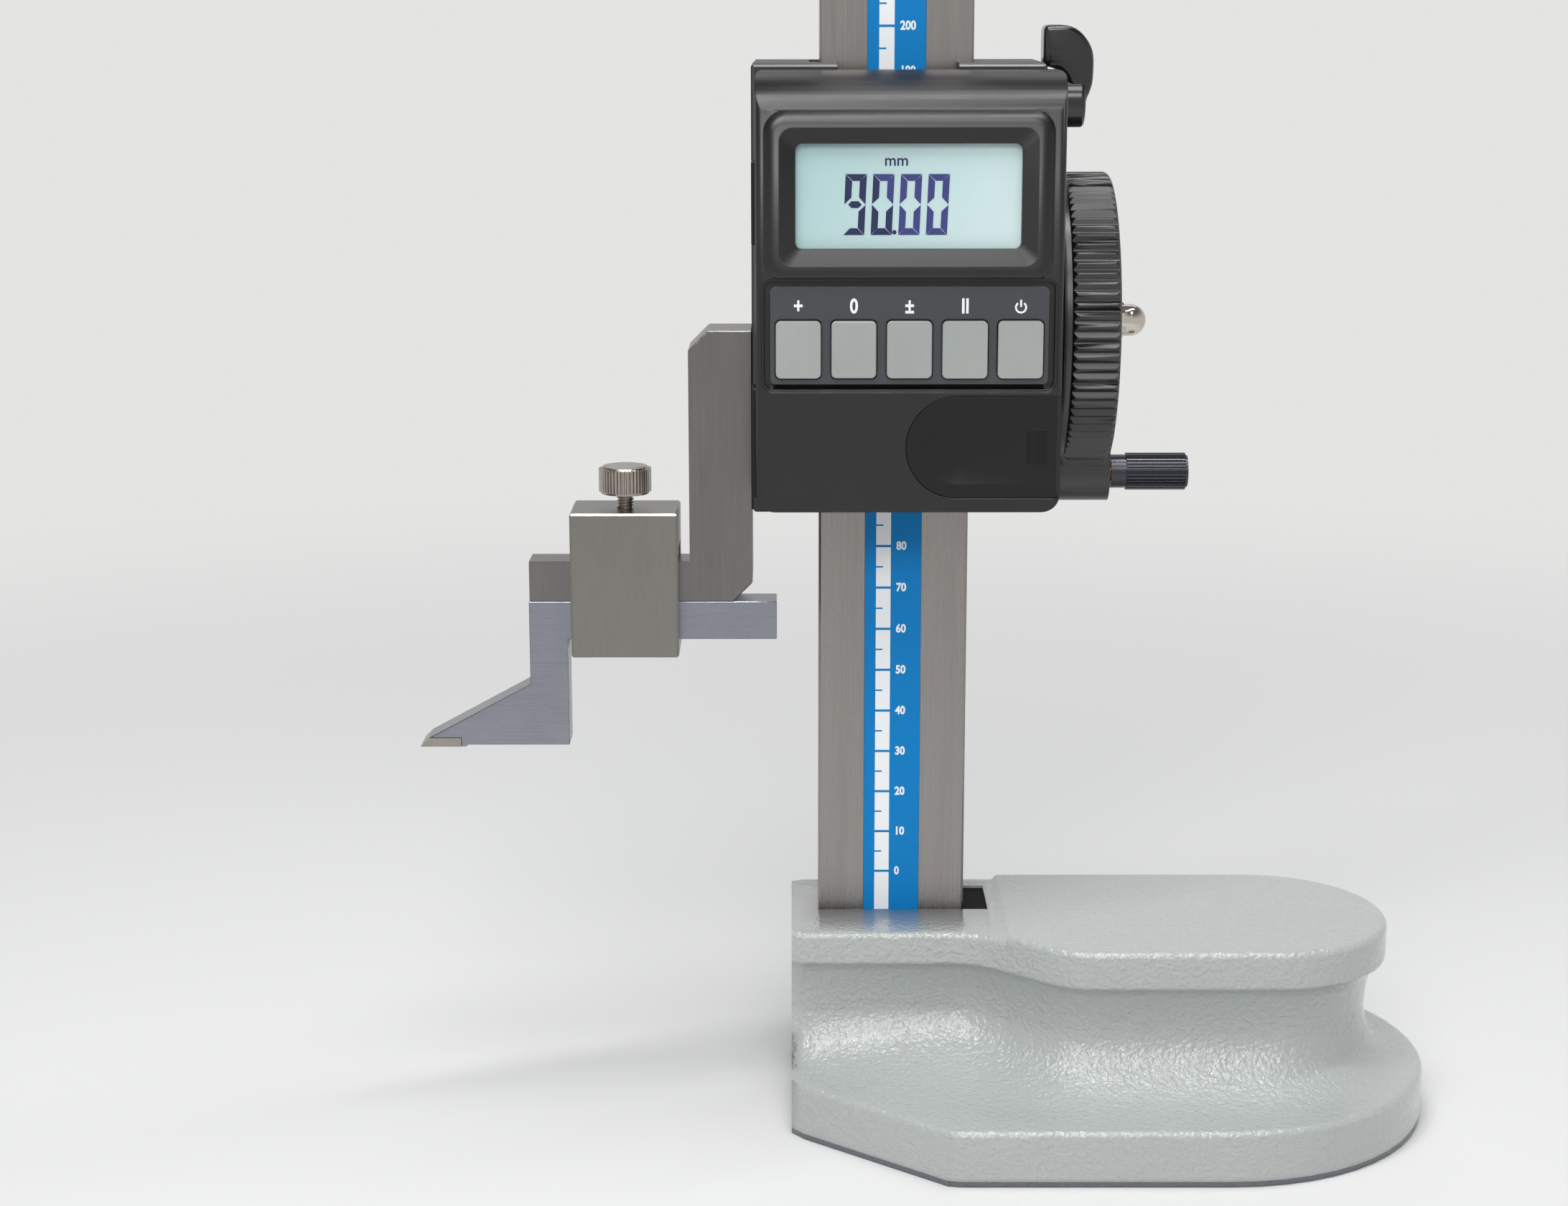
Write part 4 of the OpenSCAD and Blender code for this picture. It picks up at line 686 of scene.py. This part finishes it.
def hubRing(x0, x1, hole):
    # Part of the hub between two places along its axis, with or without the screw's hole
    h = leverLook
    ring = startDisc(64, h["hub"], (x0, h["hubY"], h["hubZ"]), (0, math.pi / 2, 0))
    openMesh()
    if hole:
        bpy.ops.mesh.inset(thickness=h["hub"] - hole)
        bpy.ops.mesh.delete(type="FACE")
        bpy.ops.mesh.select_all(action="SELECT")
    extrudeBy(x1 - x0, 0, 0)
    if not hole:
        bpy.ops.mesh.bevel(offset=h["capRound"], segments=4, affect="EDGES")
    closeMesh()
    return ring


split = leverLook["hubTo"] - leverLook["cap"]
leverParts = [thumbPiece, hubRing(leverLook["hubFrom"], split, leverLook["hole"]),
              hubRing(split, leverLook["hubTo"], 0)]
for ribZ, ribEnd in leverLook["ribs"]:
    leverParts.append(printFilm(leverLook["ribFrom"] * mm, ribEnd * mm, ribZ * mm,
                                (ribZ + leverLook["ribTall"]) * mm,
                                leverLook["front"] + leverLook["ribRoot"], leverLook["ribDeep"]))
joinPieces(leverParts)
bpy.ops.object.shade_smooth_by_angle(angle=math.radians(35))
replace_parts(keepPiece("lock_lever_finished", "lock", leverPlastic), "lock_lever")
print("lever shaped")


# Thread on the shank of the thumbscrew, turned up one pitch at a time and cut off square

thread = {"x": -62.6 * mm, "low": 146.1 * mm, "high": 150.2 * mm, "root": 1.58 * mm, "crest": 1.98 * mm,
          "flat": 0.08 * mm, "pitch": 0.7 * mm, "turns": 8, "steps": 40}
startPiece()
bpy.ops.mesh.primitive_circle_add(vertices=6, radius=0.2 * mm, location=(thread["root"], 0, 0),
                                  rotation=(math.pi / 2, 0, 0))
ridge = bpy.context.object
applyPlace()
profile = [(thread["root"], 0), (thread["root"], thread["flat"]),
           (thread["crest"], thread["pitch"] / 2 - thread["flat"] / 2),
           (thread["crest"], thread["pitch"] / 2 + thread["flat"] / 2),
           (thread["root"], thread["pitch"] - thread["flat"]), (thread["root"], thread["pitch"])]
for v, (r, z) in zip(ridge.data.vertices, profile):
    v.co = (r, 0, z)
bpy.ops.object.mode_set(mode="EDIT")
bpy.ops.mesh.select_all(action="DESELECT")
bpy.ops.object.mode_set(mode="OBJECT")
for e in ridge.data.edges:
    e.select = set(e.vertices) == {0, 5}
bpy.ops.object.mode_set(mode="EDIT")
bpy.ops.mesh.delete(type="EDGE_FACE")
bpy.ops.object.mode_set(mode="OBJECT")
bpy.ops.object.modifier_add(type="SCREW")
turning = ridge.modifiers[-1]
turning.axis = "Z"
turning.screw_offset = thread["pitch"]
turning.iterations = thread["turns"]
turning.steps = turning.render_steps = thread["steps"]
turning.use_merge_vertices = True
turning.merge_threshold = dressRules["weld"]
bpy.ops.object.modifier_apply(modifier=turning.name)
ridge.location = (thread["x"], 0, thread["low"] - thread["pitch"])
applyPlace()
bpy.ops.object.mode_set(mode="EDIT")
for height, outer in ((thread["low"], False), (thread["high"], True)):
    bpy.ops.mesh.select_all(action="SELECT")
    bpy.ops.mesh.bisect(plane_co=(thread["x"], 0, height), plane_no=(0, 0, 1), use_fill=True,
                        clear_inner=not outer, clear_outer=outer)
bpy.ops.mesh.select_all(action="SELECT")
bpy.ops.mesh.remove_doubles(threshold=dressRules["weld"])
bpy.ops.mesh.normals_make_consistent(inside=False)
bpy.ops.object.mode_set(mode="OBJECT")
bpy.ops.object.shade_smooth_by_angle(angle=math.radians(30))
keepPiece("thumbscrewThread", "thumb", knurledSteel)
print("thread cut")


# Printed scale on the column

scalePrint = {"zero": 56.2 * mm, "front": 5.3 * mm, "bandLeft": -4.0 * mm, "bandRight": -0.55 * mm,
              "long": 0.55 * mm, "short": 0.36 * mm, "top": 465 * mm, "bottom": 46.5 * mm,
              "digits": 2.75 * mm, "numbersAt": 0.75 * mm, "film": 0.03 * mm, "step": 10 * mm, "count": 41}
printFilm(scalePrint["bandLeft"], scalePrint["bandRight"], scalePrint["bottom"], scalePrint["top"],
          scalePrint["front"])
keepPiece("scaleBand", "base", inkWhite)


def tick(right, z, tall):
    # A line from the band's left edge, with its middle at z
    return printFilm(scalePrint["bandLeft"], right, z - tall / 2, z + tall / 2,
                     scalePrint["front"] - scalePrint["film"])


longTick = tick(scalePrint["bandRight"], scalePrint["zero"], scalePrint["long"])
repeatUp(longTick, scalePrint["step"], scalePrint["count"])
middle = (scalePrint["bandLeft"] + scalePrint["bandRight"]) / 2
shortTick = tick(middle - 0.1 * mm, scalePrint["zero"] + 5 * mm, scalePrint["short"])
repeatUp(shortTick, scalePrint["step"], scalePrint["count"] - 1)
joinPieces([longTick, shortTick])
keepPiece("scaleTicks", "base", scaleBlue)

numbers = [printText(str(10 * k), scalePrint["digits"], scalePrint["numbersAt"],
                     scalePrint["zero"] + 10 * k * mm, scalePrint["front"] - 0.01 * mm, bold=0.1 * mm,
                     wide=0.86, align="LEFT")
           for k in range(scalePrint["count"])]
joinPieces(numbers)
keepPiece("scaleNumbers", "base", inkWhite)
print("scale printed")


# Digits of the display

digitLook = {"left": -12.5 * mm, "bottom": 211.0 * mm, "wide": 4.7 * mm, "tall": 13.4 * mm,
             "pitch": 6.12 * mm, "dotAt": 11.42 * mm, "dotUp": 0.6 * mm, "dotRadius": 0.5 * mm,
             "stroke": 1.5 * mm, "gap": 0.09 * mm, "slant": 0.045, "pointCut": 0.499, "endCut": 0.98,
             "front": -16.74 * mm, "film": 0.02 * mm}
unitLook = {"size": 3.5 * mm, "x": -0.7 * mm, "z": 227.3 * mm, "bold": 0.045 * mm}


def segment(x0, z0, x1, z1, pointed):
    # One bar between two points: its two inner corners, or all four, are cut slanting
    s = digitLook
    length = math.hypot(x1 - x0, z1 - z0)
    angle = math.atan2(z1 - z0, x1 - x0)
    startPiece()
    bpy.ops.mesh.primitive_plane_add(size=1)
    bar = bpy.context.object
    bar.scale = (length, s["stroke"], 1)
    applyPlace()
    bpy.ops.object.mode_set(mode="EDIT")
    bpy.ops.mesh.select_all(action="DESELECT")
    bpy.ops.object.mode_set(mode="OBJECT")
    for v in bar.data.vertices:
        v.select = pointed or v.co.y > 0
    bpy.ops.object.mode_set(mode="EDIT")
    width = s["stroke"] * (s["pointCut"] if pointed else s["endCut"])
    bpy.ops.mesh.bevel(offset_type="OFFSET", offset=width, affect="VERTICES", segments=1)
    bpy.ops.mesh.select_all(action="SELECT")
    extrudeBy(0, 0, s["film"])
    closeMesh()
    bar.matrix_world = (Matrix.Translation(((x0 + x1) / 2, s["front"], (z0 + z1) / 2))
                        @ Matrix.Rotation(math.pi / 2, 4, "X") @ Matrix.Rotation(angle, 4, "Z"))
    applyPlace()
    return bar


def digit(index, lit):
    # The lit bars of one figure, which leans a little to the right
    s = digitLook
    x0 = s["left"] + index * s["pitch"]
    h = s["stroke"] / 2
    g = s["gap"]
    low, high = s["bottom"] + h, s["bottom"] + s["tall"] - h
    half = s["bottom"] + s["tall"] / 2

    def lean(z):
        return (z - s["bottom"]) * s["slant"]
    left, right = x0 + h, x0 + s["wide"] - h
    places = {
        "a": (right + h - g + lean(high), high, left - h + g + lean(high), high, False),
        "d": (left - h + g + lean(low), low, right + h - g + lean(low), low, False),
        "g": (left + g + lean(half), half, right - g + lean(half), half, True),
        "f": (left + lean(high), high + h - g, left + lean(half), half + g, False),
        "e": (left + lean(half), half - g, left + lean(low), low - h + g, False),
        "b": (right + lean(half), half + g, right + lean(high), high + h - g, False),
        "c": (right + lean(low), low - h + g, right + lean(half), half - g, False),
    }
    return [segment(*places[k]) for k in lit]


dark = digit(0, "abcdfg") + digit(1, "cdef")
dot = startDisc(24, digitLook["dotRadius"], (digitLook["left"] + digitLook["dotAt"], digitLook["front"],
                digitLook["bottom"] + digitLook["dotUp"]), (math.pi / 2, 0, 0))
openMesh()
extrudeBy(0, -digitLook["film"], 0)
bpy.ops.object.mode_set(mode="OBJECT")
joinPieces(dark + [dot])
keepPiece("displayDigits", "slider", inkNavy)
# The figures to the right take the paler ink: painted glare
joinPieces(digit(1, "ab") + digit(2, "abcdef") + digit(3, "abcdef"))
keepPiece("displayDigitsPale", "slider", inkGlarePale)
printText("mm", unitLook["size"], unitLook["x"], unitLook["z"], digitLook["front"], bold=unitLook["bold"])
keepPiece("displayUnit", "slider", inkNavy)
print("display drawn")


# Marks over the keys: plain signs, and a power mark over the last key

keySigns = {"front": -18.22 * mm, "z": 195.2 * mm, "first": -22.4 * mm, "pitch": 12.4 * mm,
            "size": 4.6 * mm, "bold": 0.12 * mm, "wide": 0.8, "ring": 1.35 * mm, "line": 0.42 * mm,
            "ringDrop": 0.15 * mm, "gap": 0.6 * mm, "barFrom": 0.1 * mm, "barTo": 1.7 * mm,
            "film": 0.02 * mm}


def powerMark(x, z):
    # A ring that is open at the top, with an upright bar through the gap
    mark = startDisc(40, keySigns["ring"], (x, keySigns["front"], z), (math.pi / 2, 0, 0))
    openMesh()
    bpy.ops.mesh.inset(thickness=keySigns["line"])
    bpy.ops.mesh.delete(type="FACE")
    bpy.ops.object.mode_set(mode="OBJECT")
    for face in mark.data.polygons:
        face.select = abs(face.center.x - x) < keySigns["gap"] and face.center.z > z
    bpy.ops.object.mode_set(mode="EDIT")
    bpy.ops.mesh.delete(type="FACE")
    bpy.ops.mesh.select_all(action="SELECT")
    extrudeBy(0, -keySigns["film"], 0)
    closeMesh()
    bar = printFilm(x - keySigns["line"] / 2, x + keySigns["line"] / 2, z + keySigns["barFrom"],
                    z + keySigns["barTo"], keySigns["front"], keySigns["film"])
    return [mark, bar]


signs = powerMark(keySigns["first"] + 4 * keySigns["pitch"], keySigns["z"] - keySigns["ringDrop"])
for k, sign in enumerate(["+", "0", "\u00b1", "II"]):
    signs.append(printText(sign, keySigns["size"], keySigns["first"] + k * keySigns["pitch"], keySigns["z"],
                           keySigns["front"], bold=keySigns["bold"], wide=keySigns["wide"]))
joinPieces(signs)
keepPiece("keySigns", "slider", inkWhite)
print("panel marked")


# Floor, light and camera

def studioSurface():
    # Matt painted board, evenly pale near the object; it fades into the pale air round it
    board = {"colour": "#dededd", "grain": 2.5 * mm, "fadeFrom": 0.2, "fadeTo": 0.85}
    material, tree = newMaterial("paleBoard")
    place = mapped(tree)
    tooth = addNode(tree, "ShaderNodeTexNoise", values={"Scale": 1 / board["grain"], "Detail": 2},
                    links={"Vector": place})
    gloss = addNode(tree, "ShaderNodeMapRange", values={"To Min": 0.7, "To Max": 0.85},
                    links={"Value": tooth.outputs["Fac"]})
    painted = addNode(tree, "ShaderNodeBsdfPrincipled", values={"Base Color": linear(board["colour"])},
                      links={"Roughness": gloss.outputs[0]})
    reach = addNode(tree, "ShaderNodeVectorMath", {"operation": "LENGTH"}, links={0: place})
    fade = addNode(tree, "ShaderNodeMapRange", {"interpolation_type": "SMOOTHSTEP"},
                   {"From Min": board["fadeFrom"], "From Max": board["fadeTo"]},
                   {"Value": reach.outputs["Value"]})
    air = addNode(tree, "ShaderNodeBsdfTransparent")
    surface = addNode(tree, "ShaderNodeMixShader", links={0: fade.outputs[0], 1: painted.outputs[0],
                      2: air.outputs[0]})
    addNode(tree, "ShaderNodeOutputMaterial", links={"Surface": surface.outputs[0]})
    return material


floorLook = {"size": 4, "drop": 0.2 * mm}
startPiece()
bpy.ops.mesh.primitive_plane_add(size=floorLook["size"], location=(0, 0, -floorLook["drop"]))
floor = bpy.context.object
floor.name = "studioFloor"
applyPlace()
floor.data.materials.append(studioSurface())

# Wide soft lights in front and above, a narrow strip overhead for the glints, a weak light behind
lamps = {
    "frontSoftbox": {"place": (-0.15, -1.1, 0.86), "wide": 0.7, "tall": 0.36, "power": 6.0,
                     "towards": (0, 0, 0.18)},
    "topSoftbox": {"place": (-0.1, -0.5, 1.15), "wide": 0.9, "tall": 0.36, "power": 5.6,
                   "towards": (0, 0, 0.1)},
    "overheadStrip": {"place": (0.05, -0.08, 1.1), "wide": 0.9, "tall": 0.06, "power": 4.4,
                      "towards": (0, 0, 0.05)},
    "rearSoftbox": {"place": (0.1, 1.0, 1.1), "wide": 1.1, "tall": 0.5, "power": 1.5,
                    "towards": (0, 0, 0.2)},
}
for lampName, lamp in lamps.items():
    startPiece()
    bpy.ops.object.light_add(type="AREA", location=lamp["place"])
    light = bpy.context.object
    light.name = lampName
    light.data.shape = "RECTANGLE"
    light.data.size = lamp["wide"]
    light.data.size_y = lamp["tall"]
    light.data.energy = lamp["power"]
    aim = Vector(lamp["towards"]) - Vector(lamp["place"])
    light.rotation_euler = aim.to_track_quat("-Z", "Y").to_euler()

# The air is plain and pale to the camera and through glass. Gloss sees it pale near the ground
# and darker overhead, as in a room, and it gives the object an even, weaker light
airLook = {"seen": "#e4e4e3", "low": "#dcdcdb", "high": "#6f7175", "lowUpTo": 0.12, "highFrom": 0.8,
           "light": "#dfe1e4", "lightStrength": 0.5}
world = bpy.data.worlds.new("studioAir")
bpy.context.scene.world = world
world.use_nodes = True
air = world.node_tree
air.nodes.clear()
direction = addNode(air, "ShaderNodeTexCoord")
height = addNode(air, "ShaderNodeSeparateXYZ", links={0: direction.outputs["Generated"]})
rise = addNode(air, "ShaderNodeMapRange", {"interpolation_type": "SMOOTHSTEP"},
               {"From Min": airLook["lowUpTo"], "From Max": airLook["highFrom"]},
               {"Value": height.outputs["Z"]})
room = twoTone(air, airLook["low"], airLook["high"], rise.outputs[0])
even = addNode(air, "ShaderNodeBackground", values={"Color": linear(airLook["light"]),
               "Strength": airLook["lightStrength"]})
mirrored = addNode(air, "ShaderNodeBackground", values={"Strength": 1.0}, links={"Color": room.outputs[2]})
backdrop = addNode(air, "ShaderNodeBackground", values={"Color": linear(airLook["seen"]), "Strength": 1.0})
rays = addNode(air, "ShaderNodeLightPath")
glossy = addNode(air, "ShaderNodeMixShader", links={0: rays.outputs["Is Glossy Ray"], 1: even.outputs[0],
                 2: mirrored.outputs[0]})
direct = addNode(air, "ShaderNodeMath", {"operation": "MAXIMUM"}, links={0: rays.outputs["Is Camera Ray"],
                 1: rays.outputs["Is Transmission Ray"]})
seen = addNode(air, "ShaderNodeMixShader", links={0: direct.outputs[0], 1: glossy.outputs[0],
               2: backdrop.outputs[0]})
addNode(air, "ShaderNodeOutputWorld", links={"Surface": seen.outputs[0]})

# The camera was fitted to the printed scale: 12.5 degrees down, about 0.64 m in front of the column
cameraLook = {"place": (-0.023866, -0.638942, 0.264787), "yaw": 0.0029, "pitch": 0.2174, "roll": -0.0013,
              "sensor": 36, "focalPixels": 3884.9, "photoPixels": 2184}
startPiece()
bpy.ops.object.camera_add()
camera = bpy.context.object
camera.name = "photoCamera"
camera.data.sensor_width = cameraLook["sensor"]
camera.data.sensor_fit = "HORIZONTAL"
camera.data.lens = cameraLook["focalPixels"] / cameraLook["photoPixels"] * cameraLook["sensor"]
camera.data.clip_start = 0.01
camera.matrix_world = (Matrix.Translation(cameraLook["place"])
                       @ Matrix.Rotation(cameraLook["yaw"], 4, "Z")
                       @ Matrix.Rotation(math.pi / 2 - cameraLook["pitch"], 4, "X")
                       @ Matrix.Rotation(cameraLook["roll"], 4, "Z"))
bpy.context.scene.camera = camera
bpy.context.scene.view_settings.view_transform = "Standard"
print("studio set")
